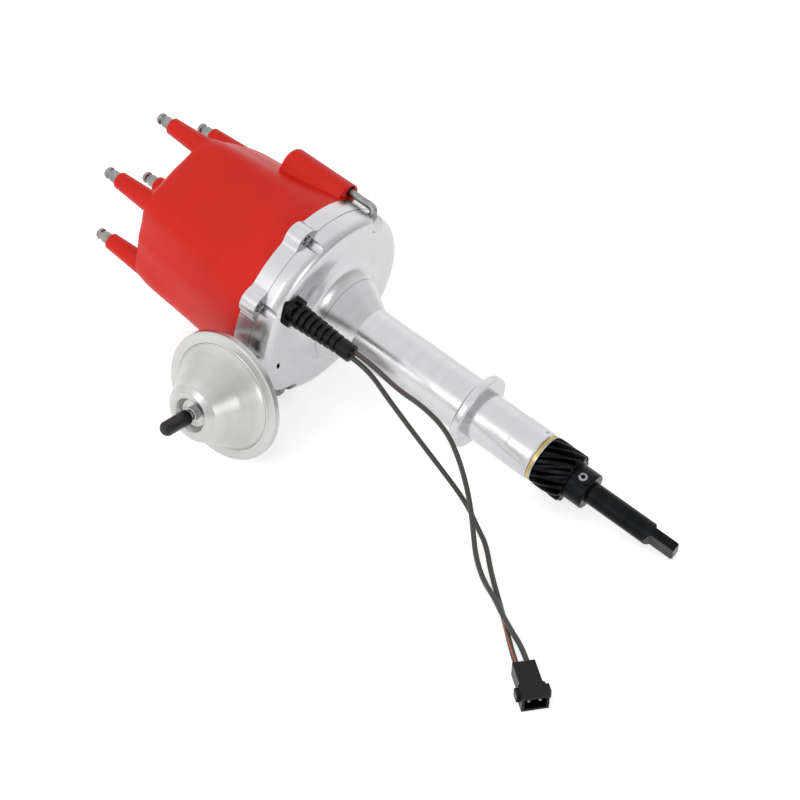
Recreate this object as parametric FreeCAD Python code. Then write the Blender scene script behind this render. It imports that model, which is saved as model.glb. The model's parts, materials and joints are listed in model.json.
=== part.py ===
import FreeCAD, Part
import math
import os

# Six cylinder ignition distributor with mechanical and vacuum advance, lying on a bench.
# Everything is built about the shaft: Z runs up the shaft towards the cap, X points at the vacuum can,
# and Z = 0 is the seat under the hold-down collar. resting_placement() at the end turns the whole thing
# into the pose in which it rests on the vacuum can, one flange boss and the tip of the shaft.
# Lengths are in millimetres and angles in degrees.

V = FreeCAD.Vector
AXIS = V(0, 0, 1)
CENTRE = V(0, 0, 0)

# Resting pose: how far the gear end dips, and which way round the shaft points at the sky
REST_DIP = 12.23
REST_SKY = 82.67
BENCH = -33.0

# Clearances
RUNNING = 0.05
SLIDING = 0.15
AIR = 0.3

# Shaft, gear and thrust parts
SHAFT_R = 6.22
SHAFT_TOP = 158.0
SHAFT_END = -128.0
TANG_LENGTH = 14.0
TANG_THICKNESS = 5.2
TANG_ANGLE = 62.0
TANG_RUNOUT = 3.0
GEAR_TEETH = 14
GEAR_TIP_R = 14.25
GEAR_ROOT_R = 11.5
GEAR_WIDTH = 19.2
GEAR_HELIX = 30.0
GEAR_CHAMFER = 1.3
HUB_R = 10.4
HUB_LENGTH = 11.6
ROLL_PIN_R = 2.4
ROLL_PIN_BORE = 1.25
ROLL_PIN_ANGLE = 64.0
ROLL_PIN_FROM_END = 6.1
WASHER_R = 13.9
WASHER_THICKNESS = 1.6
SHIM_THICKNESS = 0.7

# Housing
SHANK_END = -41.0
SHANK_R = 14.4
SHANK_NECK_R = 14.15
SHANK_STEP = -25.0
COLLAR_R = 22.0
COLLAR_THICKNESS = 5.5
TUBE_R = 16.0
TUBE_TOP = 80.0
CONE_R = 29.0
CONE_TOP = 102.5
BOWL_R = 57.5
BOWL_FLOOR = 105.4
BOWL_DEPTH = 22.6
BOWL_WALL = 3.5
BOWL_ROUNDING = 8.0
FLOOR_THICKNESS = 4.4
UNDERSIDE_R = 38.0
UNDERSIDE_BLEND = 12.0
FLANGE_STEP = 0.4
REGISTER_INSET = 3.2
REGISTER_HEIGHT = 3.0
REGISTER_WALL = 2.8
BUSH_R = 8.6
BUSH_LENGTH = 30.0
RELIEF_R = 7.6
HUB_SHOULDER_R = 16.0
PLATE_SEAT = 113.0
PLATE_HUB_R = 13.8
HUB_TOP = 118.4
BOSS_R = 8.5
BOSS_INSET = 3.2
BOSS_HEIGHT = 10.0
BOSS_BLEND = 5.0
BOSS_ANGLES = (18.0, 62.0, 198.0, 242.0)
SCREW_R = 2.0
SCREW_OUTSET = 1.1
SCREW_HEAD_R = 2.6
SCREW_HEAD = 2.6
SCREW_SINK = 3.4
SCREW_DEPTH = 8.4
SCREW_ACCESS_R = 3.3
DRAIN_RING = 46.7
DRAIN_ANGLE = 333.0
DRAIN_R = 1.3
DRAIN_LENGTH = 4.6

# Cap
CAP_WALL = 3.2
CAP_TOP = 218.0
CAP_LOBES = 6
LOBE_ANGLE = 26.7
LOBE_STEPS = 8
RIB_SHARPNESS = 2.2
CROWN_HEIGHT = 6.0
TOWER_RING = 44.06
TOWER_FOOT_R = 6.6
TOWER_END_R = 5.0
TOWER_END = 240.0
COIL_TOWER_RISE = 4.0
POST_R = 3.5
POST_LENGTH = 10.0
STEM_R = 2.4
EAR_ANGLES = (112.0, 292.0)
EAR_INSET = 1.2
EAR_ROUND_R = 9.5
EAR_LIFT = 2.0
EAR_LENGTH = 42.5

# Latches
HOOK_OUTSET = 3.8
HOOK_ROD_R = 2.2
HOOK_FOOT_LENGTH = 11.0
HOOK_FOOT = 111.6
HOOK_BEND_R = 3.6
HOOK_HEAD_R = 3.5
HOOK_HEAD = 3.0
HOOK_HEAD_DEPTH = 4.0
POCKET_WALL = 2.2
LATCH_WELL_R = 3.9
LATCH_WELL_DEPTH = 23.0
LATCH_SPRING_WIRE = 0.8

# Pickup and its plate
PLATE_R = 35.0
PLATE_THICKNESS = 2.0
MAGNET_OUTER_R = 28.0
MAGNET_INNER_R = 20.5
MAGNET_HEIGHT = 2.6
COIL_HEIGHT = 3.6
POLE_THICKNESS = 1.6
POLE_TIP_R = 17.6
RELUCTOR_TIP_R = 17.0
RELUCTOR_ROOT_R = 12.6
RELUCTOR_HEIGHT = 7.0
LINK_PIN_R = 2.0
CLIP_THICKNESS = 1.0

# Mechanical advance and rotor
SLEEVE_R = 9.4
SLEEVE_FOOT = 119.2
ADVANCE_PLATE_R = 33.0
ADVANCE_PLATE_FOOT = 146.5
ADVANCE_PLATE_THICKNESS = 2.0
WEIGHT_THICKNESS = 4.6
WEIGHT_OUTER_R = 31.0
WEIGHT_INNER_R = 13.2
WEIGHT_SPREAD = 62.0
WEIGHT_PIN_R = 2.2
WEIGHT_PIN_RING = 26.0
CAM_LONG_R = 11.6
CAM_SHORT_R = 8.6
CAM_THICKNESS = 4.2
CAM_ARM_THICKNESS = 1.4
CAM_ARM_REACH = 13.0
SPRING_POST_R = 1.2
ADVANCE_SPRING_R = 1.4
ADVANCE_SPRING_WIRE = 0.3
ROTOR_POST_R = 4.0
ROTOR_POST_RING = 26.0
ROTOR_DISC_FOOT = 162.0
ROTOR_DISC_THICKNESS = 3.5
ROTOR_DISC_R = 34.0
ROTOR_NECK_R = 15.0
BLADE_RISE = 26.5
BLADE_R = 40.9
BLADE_WIDTH = 9.0
BLADE_THICKNESS = 1.4
BRUSH_R = 2.4
BRUSH_LENGTH = 8.0

# Vacuum can
CAN_RISE = 6.6
CAN_SIDE = -29.7
CAN_STANDOFF = 19.0
CAN_RIM_R = 36.4
CAN_FLANGE_R = 31.6
CAN_SHEET = 1.1
DOME_LENGTH = 27.6
DOME_NOSE_R = 15.3
DISH_R = 10.0
DISH_DEPTH = 4.4
REAR_CUP_R = 29.0
REAR_CUP_DEPTH = 13.0
PAD_OUTSET = 0.5
PAD_ROOT = 17.5
PAD_WIDTH = 34.0
PAD_HEIGHT = 15.0
PAD_SHIFT = 2.0
BRACKET_THICKNESS = 2.0
BRACKET_SCREW_SPACING = 24.0
ROD_THICKNESS = 1.4
ROD_WIDTH = 6.0
ROD_TRAVEL = 5.2
HEX_FLATS = 8.0
HEX_LENGTH = 3.6
NIPPLE_R = 2.1
NIPPLE_BORE = 1.1
NIPPLE_LENGTH = 10.3
VINYL_R = 4.2
VINYL_GAP = 5.6
VINYL_LENGTH = 18.6

# Strain relief, leads and connector
GLAND_RING = 48.5
GLAND_ANGLE = 24.0
GLAND_NECK_R = 4.5
GLAND_HEAD = 13.0
GLAND_HEAD_LENGTH = 4.5
GLAND_START_R = 6.9
GLAND_END_R = 5.0
GLAND_END = 62.0
GLAND_RIBS = 7
GLAND_RIB_GAP = 1.9
GLAND_COLLAR = 8.0
LEAD_R = 1.4
LEAD_OFFSET = 1.7
LEAD_STRAIGHT = 12.0
LYING = LEAD_R + 0.05
PLUG_PLACE = (109.6, -113.1)
PLUG_ANGLE = -40.3
PLUG_LENGTH = 23.5
PLUG_HEIGHT = 8.5
PLUG_WIDTH = 11.2
SHROUD_WIDTH = 13.4
SHROUD_LENGTH = 9.5
PLUG_WALL = 1.3
CAVITY_DEPTH = 8.0
LUG_WIDTH = 1.8
CONTACT_R = 0.85
CONTACT_SPACING = 5.6
CONTACT_SETBACK = 1.6

# Lead routes between the strain relief and the plug: x, y and height above the bench
ORANGE_ROUTE = (
    (-30.0, -43.0, 55.0),
    (-10.0, -44.5, 41.0),
    (8.0, -44.5, 27.0),
    (24.0, -43.5, 12.0),
    (33.0, -45.5, LYING),
    (44.0, -53.0, LYING),
    (57.0, -67.0, LYING),
    (71.0, -80.0, LYING),
    (86.0, -94.0, LYING),
)
VIOLET_ROUTE = (
    (-24.0, -42.5, 63.5),
    (-6.0, -43.0, 61.0),
    (9.0, -43.0, 53.0),
    (19.0, -44.0, 38.0),
    (29.0, -48.0, 20.0),
    (37.0, -55.0, 6.5),
    (45.0, -63.5, LYING),
    (58.0, -75.0, LYING),
    (72.0, -84.5, 4.6),
    (82.0, -92.0, 5.6),
    (92.0, -98.0, 5.2),
)

# Places that follow from the sizes above
PARTING = BOWL_FLOOR + BOWL_DEPTH
FLANGE_R = BOWL_R + FLANGE_STEP
REGISTER_R = BOWL_R - REGISTER_INSET
BOSS_RING = BOWL_R - BOSS_INSET
SCREW_RING = BOWL_R + SCREW_OUTSET
CAP_RIM_R = FLANGE_R
CROWN_FOOT = CAP_TOP - CROWN_HEIGHT
EAR_RING = BOWL_R - EAR_INSET
EAR_FOOT = PARTING + EAR_LIFT
EAR_TOP = EAR_FOOT + EAR_LENGTH
HOOK_RING = BOWL_R + HOOK_OUTSET
HOOK_HEAD_TOP = EAR_TOP - HOOK_HEAD_DEPTH
LATCH_WELL_FLOOR = EAR_TOP - LATCH_WELL_DEPTH
BLADE_TOP = ROTOR_DISC_FOOT + BLADE_RISE
ELECTRODE_END = BLADE_TOP - 4.5
CAN_HEIGHT = BOWL_FLOOR + CAN_RISE
PAD_X = BOWL_R + PAD_OUTSET
CAN_RIM_X = PAD_X + CAN_STANDOFF
REAR_CUP_X = CAN_RIM_X - REAR_CUP_DEPTH
DOME_NOSE_X = CAN_RIM_X + DOME_LENGTH
DISH_FLOOR_X = DOME_NOSE_X - DISH_DEPTH
NIPPLE_END_X = DISH_FLOOR_X + NIPPLE_LENGTH
VINYL_START_X = DISH_FLOOR_X + VINYL_GAP
VINYL_END_X = VINYL_START_X + VINYL_LENGTH
GLAND_RIB_START = BOWL_FLOOR - GLAND_HEAD_LENGTH - GLAND_RIB_GAP
HOOK_ROOF = HOOK_FOOT + HOOK_ROD_R + AIR
FLOOR_TOP = BOWL_FLOOR + FLOOR_THICKNESS
WASHER_TOP = SHANK_END - SLIDING
SHIM_TOP = WASHER_TOP - WASHER_THICKNESS
GEAR_TOP = SHIM_TOP - SHIM_THICKNESS
GEAR_FOOT = GEAR_TOP - GEAR_WIDTH
HUB_FOOT = GEAR_FOOT - HUB_LENGTH
BOSS_FOOT = PARTING - BOSS_HEIGHT
SCREW_SEAT = BOSS_FOOT + SCREW_SINK
PLATE_FOOT = PLATE_SEAT + RUNNING
PLATE_TOP = PLATE_FOOT + PLATE_THICKNESS
COIL_FOOT = PLATE_TOP + MAGNET_HEIGHT
POLE_FOOT = COIL_FOOT + COIL_HEIGHT
ADVANCE_PLATE_TOP = ADVANCE_PLATE_FOOT + ADVANCE_PLATE_THICKNESS
WEIGHT_FOOT = ADVANCE_PLATE_TOP + AIR
WEIGHT_TOP = WEIGHT_FOOT + WEIGHT_THICKNESS
SPRING_HEIGHT = WEIGHT_TOP + AIR + CAM_ARM_THICKNESS + ADVANCE_SPRING_R + 2 * ADVANCE_SPRING_WIRE
POST_TOP = SPRING_HEIGHT + 1.2


def polar(radius, angle, height):
    """A point given round the shaft."""
    turn = math.radians(angle)
    return V(radius * math.cos(turn), radius * math.sin(turn), height)


def turn_about_shaft(shape, angle):
    """A copy of the shape turned about the shaft."""
    return shape.copy().rotated(CENTRE, AXIS, angle)


def rod(radius, bottom, top, at=(0.0, 0.0)):
    """A round bar along the shaft's direction."""
    return Part.makeCylinder(radius, top - bottom, V(at[0], at[1], bottom), AXIS)


def ring(outer, inner, bottom, top):
    """A flat ring about the shaft."""
    return rod(outer, bottom, top).cut(rod(inner, bottom - 1.0, top + 1.0))


def block(x_low, x_high, y_low, y_high, z_low, z_high):
    """A plain block between two corners."""
    return Part.makeBox(x_high - x_low, y_high - y_low, z_high - z_low, V(x_low, y_low, z_low))


def rounded_face(corners):
    """A flat face in the XZ plane. A corner is (radius, height) or (radius, height, rounding)."""
    starts = []
    ends = []
    middles = []
    count = len(corners)
    for index, corner in enumerate(corners):
        here = V(corner[0], 0, corner[1])
        rounding = corner[2] if len(corner) > 2 else 0.0
        if not rounding:
            starts.append(here)
            ends.append(here)
            middles.append(None)
            continue
        before = corners[index - 1]
        after = corners[(index + 1) % count]
        back = (V(before[0], 0, before[1]) - here).normalize()
        ahead = (V(after[0], 0, after[1]) - here).normalize()
        half = back.getAngle(ahead) / 2
        reach = rounding / math.tan(half)
        bisector = (back + ahead).normalize()
        starts.append(here + back * reach)
        ends.append(here + ahead * reach)
        middles.append(here + bisector * (rounding / math.sin(half) - rounding))
    edges = []
    for index in range(count):
        if middles[index] is not None:
            edges.append(Part.Arc(starts[index], middles[index], ends[index]).toShape())
        following = starts[(index + 1) % count]
        if (following - ends[index]).Length > 1e-6:
            edges.append(Part.LineSegment(ends[index], following).toShape())
    return Part.Face(Part.Wire(edges))


def turned(corners):
    """A solid of revolution about the shaft."""
    return rounded_face(corners).revolve(CENTRE, AXIS, 360)


def along_x(shape, x, y, z):
    """Moves a shape built along Z so that it points along X from the given point."""
    laid = shape.copy().rotated(CENTRE, V(0, 1, 0), 90)
    laid.translate(V(x, y, z))
    return laid


def on_can(shape):
    """Moves a shape built along Z, with heights as X places, onto the vacuum can's axis."""
    return along_x(shape, 0, CAN_SIDE, CAN_HEIGHT)


def fuse_all(shapes):
    """One clean solid from several."""
    first = shapes[0]
    return first.fuse(shapes[1:]).removeSplitter()


def coil_spring(radius, wire_r, foot, top, turns):
    """A coil spring about Z, from its wire's lowest to its highest point."""
    height = top - foot - 2 * wire_r
    helix = Part.makeHelix(height / turns, height, radius)
    circle = Part.Circle(V(radius, 0, 0), V(0, 1, 0), wire_r)
    halves = [Part.Arc(circle, start, start + math.pi).toShape() for start in (0, math.pi)]
    spring = Part.Wire(helix).makePipeShell([Part.Wire(halves)], True, True)
    spring.translate(V(0, 0, foot + wire_r))
    return spring


def bowl_outline():
    """Half section of the housing: shank, collar, tube, cone, bowl and the bores for the bushings."""
    return [
        (BUSH_R, SHANK_END),
        (SHANK_R, SHANK_END, 1.2),
        (SHANK_R, SHANK_STEP),
        (SHANK_NECK_R, SHANK_STEP + 0.5),
        (SHANK_NECK_R, 0.0),
        (COLLAR_R, 0.0, 1.0),
        (COLLAR_R, COLLAR_THICKNESS, 1.6),
        (TUBE_R, COLLAR_THICKNESS, 1.0),
        (TUBE_R, TUBE_TOP),
        (CONE_R, CONE_TOP, UNDERSIDE_BLEND),
        (UNDERSIDE_R, BOWL_FLOOR, UNDERSIDE_BLEND),
        (BOWL_R, BOWL_FLOOR, BOWL_ROUNDING),
        (BOWL_R, PARTING),
        (REGISTER_R, PARTING),
        (REGISTER_R, PARTING + REGISTER_HEIGHT),
        (REGISTER_R - REGISTER_WALL, PARTING + REGISTER_HEIGHT),
        (REGISTER_R - REGISTER_WALL, PARTING - REGISTER_HEIGHT),
        (BOWL_R - BOWL_WALL, PARTING - 2 * REGISTER_HEIGHT),
        (BOWL_R - BOWL_WALL, FLOOR_TOP, 1.0),
        (HUB_SHOULDER_R, FLOOR_TOP, 0.8),
        (HUB_SHOULDER_R, PLATE_SEAT),
        (PLATE_HUB_R, PLATE_SEAT),
        (PLATE_HUB_R, HUB_TOP),
        (BUSH_R, HUB_TOP),
        (BUSH_R, HUB_TOP - BUSH_LENGTH),
        (RELIEF_R, HUB_TOP - BUSH_LENGTH),
        (RELIEF_R, SHANK_END + BUSH_LENGTH),
        (BUSH_R, SHANK_END + BUSH_LENGTH),
    ]


def flange_outline():
    """The flange's outline: a circle that swells smoothly round each screw boss."""
    reach = FLANGE_R + BOSS_BLEND
    across = BOSS_R + BOSS_BLEND
    apart = math.degrees(math.acos((reach ** 2 + BOSS_RING ** 2 - across ** 2) / (2 * reach * BOSS_RING)))
    edges = []
    for index, angle in enumerate(BOSS_ANGLES):
        centre = polar(BOSS_RING, angle, 0)
        ends = {}
        for side in (-1, 1):
            middle = polar(reach, angle + side * apart, 0)
            on_flange = polar(FLANGE_R, angle + side * apart, 0)
            on_boss = middle + (centre - middle).normalize() * BOSS_BLEND
            halfway = middle + (on_flange + on_boss - middle * 2).normalize() * BOSS_BLEND
            ends[side] = on_boss
            edges.append(Part.Arc(on_flange, halfway, on_boss).toShape())
        edges.append(Part.Arc(ends[-1], polar(BOSS_RING + BOSS_R, angle, 0), ends[1]).toShape())
        following = BOSS_ANGLES[(index + 1) % len(BOSS_ANGLES)]
        if following < angle:
            following += 360.0
        edges.append(Part.Arc(
            polar(FLANGE_R, angle + apart, 0),
            polar(FLANGE_R, (angle + following) / 2, 0),
            polar(FLANGE_R, following - apart, 0),
        ).toShape())
    return Part.Wire(Part.__sortEdges__(edges))


def hook_sweep(angle, spread, low, roof):
    """The space that one latch's foot sweeps as the latch turns, grown by the given distance."""
    reach = HOOK_FOOT_LENGTH + spread
    side = HOOK_ROD_R + spread
    disc = rod(reach, low, roof, (HOOK_RING, 0))
    keep = block(HOOK_RING - reach - 1.0, HOOK_RING + side, -side, reach + 1.0, low, roof)
    return turn_about_shaft(disc.common(keep), angle)


def gland_place(height):
    """A point on the strain relief's own axis."""
    return polar(GLAND_RING, GLAND_ANGLE, height)


def bracket_screw_sides():
    """Where the two vacuum bracket screws stand, across the can's axis."""
    half = BRACKET_SCREW_SPACING / 2
    return (CAN_SIDE + PAD_SHIFT - half, CAN_SIDE + PAD_SHIFT + half)


def housing():
    """The turned aluminium body with its flange bosses, vacuum pad and drillings."""
    body = turned(bowl_outline())
    inner = rod(BOWL_R - BOWL_WALL, FLOOR_TOP, PARTING + 10.0)
    flange = Part.Face(flange_outline()).extrude(V(0, 0, BOSS_HEIGHT))
    flange.translate(V(0, 0, BOSS_FOOT))
    extras = [flange.cut(inner)]
    for angle in EAR_ANGLES:
        hood = hook_sweep(angle, 2 * AIR + POCKET_WALL, FLOOR_TOP - 1.0, HOOK_ROOF + POCKET_WALL)
        extras.append(hood.common(rod(BOWL_R - 2.0, FLOOR_TOP - 1.0, PARTING)))
    pad = block(BOWL_R - PAD_ROOT, PAD_X, CAN_SIDE + PAD_SHIFT - PAD_WIDTH / 2, CAN_SIDE + PAD_SHIFT + PAD_WIDTH / 2,
                BOWL_FLOOR + 2.0, BOWL_FLOOR + 2.0 + PAD_HEIGHT)
    upright = [edge for edge in pad.Edges if edge.BoundBox.XLength > 10]
    pad = pad.makeFillet(2.0, upright)
    extras.append(pad.cut(inner))
    body = fuse_all([body] + extras)
    tools = []
    for angle in BOSS_ANGLES:
        at = polar(SCREW_RING, angle, 0)
        tools.append(rod(SCREW_R, BOSS_FOOT - 1.0, BOSS_FOOT + SCREW_DEPTH, (at.x, at.y)))
        tools.append(rod(SCREW_HEAD_R + AIR, BOSS_FOOT - 1.0, SCREW_SEAT, (at.x, at.y)))
        tools.append(rod(SCREW_ACCESS_R, BOWL_FLOOR - 1.0, BOSS_FOOT, (at.x, at.y)))
    for angle in EAR_ANGLES:
        tools.append(hook_sweep(angle, 2 * AIR, BOWL_FLOOR - 1.0, HOOK_ROOF))
    slot = block(BOWL_R - PAD_ROOT, PAD_X + 5.0, CAN_SIDE - ROD_WIDTH / 2 - 1.2, CAN_SIDE + ROD_WIDTH / 2 + 1.2,
                 FLOOR_TOP + 0.4, CAN_HEIGHT + 2.2)
    tools.append(slot)
    for side in bracket_screw_sides():
        tools.append(Part.makeCylinder(SCREW_R, 9.0, V(PAD_X - 9.0, side, CAN_HEIGHT + 4.4), V(1, 0, 0)))
    at = gland_place(0)
    tools.append(rod(GLAND_NECK_R + RUNNING, BOWL_FLOOR - 5.0, FLOOR_TOP + 5.0, (at.x, at.y)))
    drain = []
    for shift in (-0.5, 0.5):
        angle = DRAIN_ANGLE + math.degrees(shift * (DRAIN_LENGTH - 2 * DRAIN_R) / DRAIN_RING)
        at = polar(DRAIN_RING, angle, 0)
        drain.append(rod(DRAIN_R, BOWL_FLOOR - 3.0, FLOOR_TOP + 3.0, (at.x, at.y)))
    tools.extend(drain)
    notch_r = 1.4
    for angle in (100.0, 280.0):
        at = polar(SHANK_R, angle, 0)
        tools.append(rod(notch_r, SHANK_END - 1.0, SHANK_END + 3.2, (at.x, at.y)))
    return body.cut(tools)


def bushing(foot):
    """A sintered bronze bushing pressed into one end of the bore."""
    return ring(BUSH_R, SHAFT_R + RUNNING, foot, foot + BUSH_LENGTH)


def shaft():
    """The drive shaft, with a flat tang at its foot that turns the oil pump."""
    bar = turned([(0, SHAFT_END), (SHAFT_R, SHAFT_END, 1.4), (SHAFT_R, SHAFT_TOP, 0.6), (0, SHAFT_TOP)])
    half = TANG_THICKNESS / 2
    cutters = []
    for side in (1, -1):
        flat = [
            V(half * side, 0, SHAFT_END - 1.0),
            V(half * side, 0, SHAFT_END + TANG_LENGTH),
            V((SHAFT_R + 1.0) * side, 0, SHAFT_END + TANG_LENGTH + TANG_RUNOUT),
            V((SHAFT_R + 1.0) * side, 0, SHAFT_END - 1.0),
        ]
        face = Part.Face(Part.makePolygon(flat + [flat[0]]))
        face.translate(V(0, -SHAFT_R - 1.0, 0))
        cutters.append(face.extrude(V(0, 2 * SHAFT_R + 2.0, 0)))
    tang = bar.cut(cutters)
    tang = turn_about_shaft(tang, TANG_ANGLE - 90.0)
    return tang.cut(roll_pin_blank(ROLL_PIN_R))


def roll_pin_blank(radius):
    """The round space of the roll pin, right through the gear's hub."""
    height = HUB_FOOT + ROLL_PIN_FROM_END
    start = polar(-HUB_R - 0.6, ROLL_PIN_ANGLE, height)
    return Part.makeCylinder(radius, 2 * HUB_R + 1.2, start, polar(1, ROLL_PIN_ANGLE, 0))


def roll_pin():
    """A hollow spring pin, flush with the hub and split along one side."""
    pin = roll_pin_blank(ROLL_PIN_R).cut(roll_pin_blank(ROLL_PIN_BORE))
    height = HUB_FOOT + ROLL_PIN_FROM_END
    split = block(-HUB_R - 2.0, HUB_R + 2.0, -0.25, 0.25, height, height + ROLL_PIN_R + 1.0)
    pin = pin.cut(turn_about_shaft(split, ROLL_PIN_ANGLE))
    return pin.common(rod(HUB_R - 0.1, HUB_FOOT, GEAR_FOOT))


def gear_section():
    """The toothed outline of the drive gear at its foot."""
    points = []
    pitch = 360.0 / GEAR_TEETH
    for tooth in range(GEAR_TEETH):
        base = tooth * pitch
        for share, radius in ((0.10, GEAR_ROOT_R), (0.30, GEAR_TIP_R), (0.52, GEAR_TIP_R), (0.72, GEAR_ROOT_R)):
            points.append(polar(radius, base + share * pitch, 0))
    return Part.makePolygon(points + [points[0]])


def drive_gear():
    """The hardened helical gear: left hand teeth swept round the shaft, with its pinned hub below."""
    pitch_r = (GEAR_TIP_R + GEAR_ROOT_R) / 2
    lead = 2 * math.pi * pitch_r / math.tan(math.radians(GEAR_HELIX))
    twist = Part.Wire(Part.makeHelix(lead, GEAR_WIDTH, pitch_r, 0, True))
    spine = Part.Wire(Part.LineSegment(CENTRE, V(0, 0, GEAR_WIDTH)).toShape())
    sweep = Part.BRepOffsetAPI.MakePipeShell(spine)
    sweep.setAuxiliarySpine(twist, True, 0)
    sweep.add(gear_section(), False, False)
    sweep.build()
    sweep.makeSolid()
    teeth = sweep.shape()
    teeth.translate(V(0, 0, GEAR_FOOT))
    over = GEAR_TIP_R + 0.3
    envelope = turned([
        (0, GEAR_FOOT),
        (over - GEAR_CHAMFER, GEAR_FOOT),
        (over, GEAR_FOOT + GEAR_CHAMFER),
        (over, GEAR_TOP - GEAR_CHAMFER),
        (over - GEAR_CHAMFER, GEAR_TOP),
        (0, GEAR_TOP),
    ])
    teeth = teeth.common(envelope)
    hub = turned([(0, HUB_FOOT), (HUB_R, HUB_FOOT, 0.8), (HUB_R, GEAR_FOOT + 1.0), (0, GEAR_FOOT + 1.0)])
    gear = teeth.fuse(hub)
    bore = rod(SHAFT_R + RUNNING / 2, HUB_FOOT - 1.0, GEAR_TOP + 1.0)
    return gear.cut([bore, roll_pin_blank(ROLL_PIN_R)])


def cap_section(height, radius, depth):
    """A closed smooth outline of the cap at one height, with a rib under each tower."""
    steps = CAP_LOBES * LOBE_STEPS
    points = []
    for step in range(steps):
        angle = 360.0 * step / steps
        wave = (1 + math.cos(math.radians(CAP_LOBES * (angle - LOBE_ANGLE)))) / 2
        swell = depth * (2.6 * wave ** RIB_SHARPNESS - 1.6)
        points.append(polar(radius + swell, angle, height))
    curve = Part.BSplineCurve()
    curve.interpolate(Points=points, PeriodicFlag=True)
    return Part.Wire(curve.toShape())


def tower(at, foot, end):
    """One moulded tower with its sleeve tapering towards the metal post."""
    height = end - foot
    cone = Part.makeCone(TOWER_FOOT_R, TOWER_END_R, height, V(at.x, at.y, foot), AXIS)
    rim = [edge for edge in cone.Edges if abs(edge.BoundBox.ZMax - end) < 1e-6 and edge.BoundBox.ZLength < 1e-6]
    return cone.makeFillet(0.8, rim)


def tower_places():
    """The six plug towers, round the coil tower in the middle."""
    return [polar(TOWER_RING, LOBE_ANGLE + 360.0 * index / CAP_LOBES, 0) for index in range(CAP_LOBES)]


def ear(angle):
    """The moulded half round pillar that houses one latch rod, rounded at its top."""
    root = CAP_RIM_R - 14.0
    pillar = rod(EAR_ROUND_R, EAR_FOOT, EAR_TOP, (EAR_RING, 0))
    pillar = pillar.fuse(block(root, EAR_RING, -EAR_ROUND_R, EAR_ROUND_R, EAR_FOOT, EAR_TOP)).removeSplitter()
    top = [
        edge
        for edge in pillar.Edges
        if edge.BoundBox.ZMin > EAR_TOP - 0.01 and edge.BoundBox.XMax > root + 1.0
    ]
    pillar = pillar.makeFillet(3.5, top)
    return turn_about_shaft(pillar, angle)


def cap_profile():
    """Heights up the cap's wall, with how far it has drawn in and how deep its ribs are there."""
    rise = CROWN_FOOT - PARTING
    steps = (
        (0.0, 0.0, 0.0),
        (0.06, 0.4, 0.05),
        (0.2, 2.0, 0.2),
        (0.4, 3.8, 0.7),
        (0.64, 5.7, 1.3),
        (0.89, 7.5, 1.8),
        (1.0, 9.3, 1.9),
    )
    return [(PARTING + share * rise, CAP_RIM_R - drop, depth) for share, drop, depth in steps]


def cap_inside():
    """The space inside the cap, left by a wall of even thickness."""
    seat = REGISTER_R + SLIDING
    ceiling = CAP_TOP - CAP_WALL - 1.0
    side = [(radius - 1.6 * depth - CAP_WALL, height) for height, radius, depth in cap_profile()[2:6]]
    return turned([
        (0, PARTING - 1.0),
        (seat, PARTING - 1.0),
        (seat, PARTING + REGISTER_HEIGHT + 0.6),
    ] + side + [
        (CAP_RIM_R - 17.3, ceiling, 5.0),
        (0, ceiling),
    ])


def latch_place(angle):
    """Where one latch rod stands."""
    return polar(HOOK_RING, angle, 0)


def cap():
    """The moulded cap: lobed wall, seven towers, two latch ears and a boss for the carbon brush."""
    sections = [cap_section(height, radius, depth) for height, radius, depth in cap_profile()]
    wall = Part.makeLoft(sections, True, False)
    crown = Part.makeLoft([
        sections[-1],
        cap_section(CAP_TOP - 2.4, CAP_RIM_R - 11.5, 1.7),
        cap_section(CAP_TOP - 0.6, CAP_RIM_R - 14.9, 1.2),
        cap_section(CAP_TOP, CAP_RIM_R - 18.9, 0.8),
    ], True, False)
    places = tower_places()
    parts = [wall, crown]
    parts.extend(tower(at, CAP_TOP - 8.0, TOWER_END) for at in places)
    parts.append(tower(CENTRE, CAP_TOP - 4.0, TOWER_END + COIL_TOWER_RISE))
    parts.extend(ear(angle) for angle in EAR_ANGLES)
    body = parts[0].fuse(parts[1:])
    body = body.cut(cap_inside())
    inner_bosses = [rod(STEM_R + 2.0, ELECTRODE_END + 12.0, CAP_TOP - 2.0, (at.x, at.y)) for at in places]
    inner_bosses.append(rod(BRUSH_R + 3.0, ELECTRODE_END + 14.0, CAP_TOP - 2.0))
    body = body.fuse(inner_bosses)
    tools = []
    for at in places:
        tools.append(rod(STEM_R, ELECTRODE_END, TOWER_END + 5.0, (at.x, at.y)))
    tools.append(rod(BRUSH_R + SLIDING, ELECTRODE_END, CAP_TOP - 8.0))
    tools.append(rod(STEM_R, CAP_TOP - 9.0, TOWER_END + 12.0))
    for angle in EAR_ANGLES:
        at = latch_place(angle)
        tools.append(rod(HOOK_ROD_R + SLIDING, EAR_FOOT - 5.0, EAR_TOP + 5.0, (at.x, at.y)))
        tools.append(rod(LATCH_WELL_R, LATCH_WELL_FLOOR, EAR_TOP + 5.0, (at.x, at.y)))
        tools.append(rod(HOOK_ROD_R + 1.6, EAR_FOOT - 5.0, EAR_FOOT + 7.0, (at.x, at.y)))
    return body.cut(tools)


def terminal(at, foot, end, stem_foot_r):
    """A plated post: rounded nose, snap groove and the stem moulded into its tower."""
    nose = end + POST_LENGTH
    post = turned([
        (0, end),
        (POST_R, end),
        (POST_R, end + 4.6),
        (POST_R - 0.9, end + 5.4),
        (POST_R - 0.9, end + 6.4),
        (POST_R, end + 7.2),
        (POST_R, nose, 2.2),
        (0, nose),
    ])
    stem = rod(STEM_R, foot, end)
    piece = post.fuse(stem).removeSplitter()
    if stem_foot_r:
        piece = piece.fuse(rod(stem_foot_r, foot, foot + 4.0))
    piece.translate(V(at.x, at.y, 0))
    return piece


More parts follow.
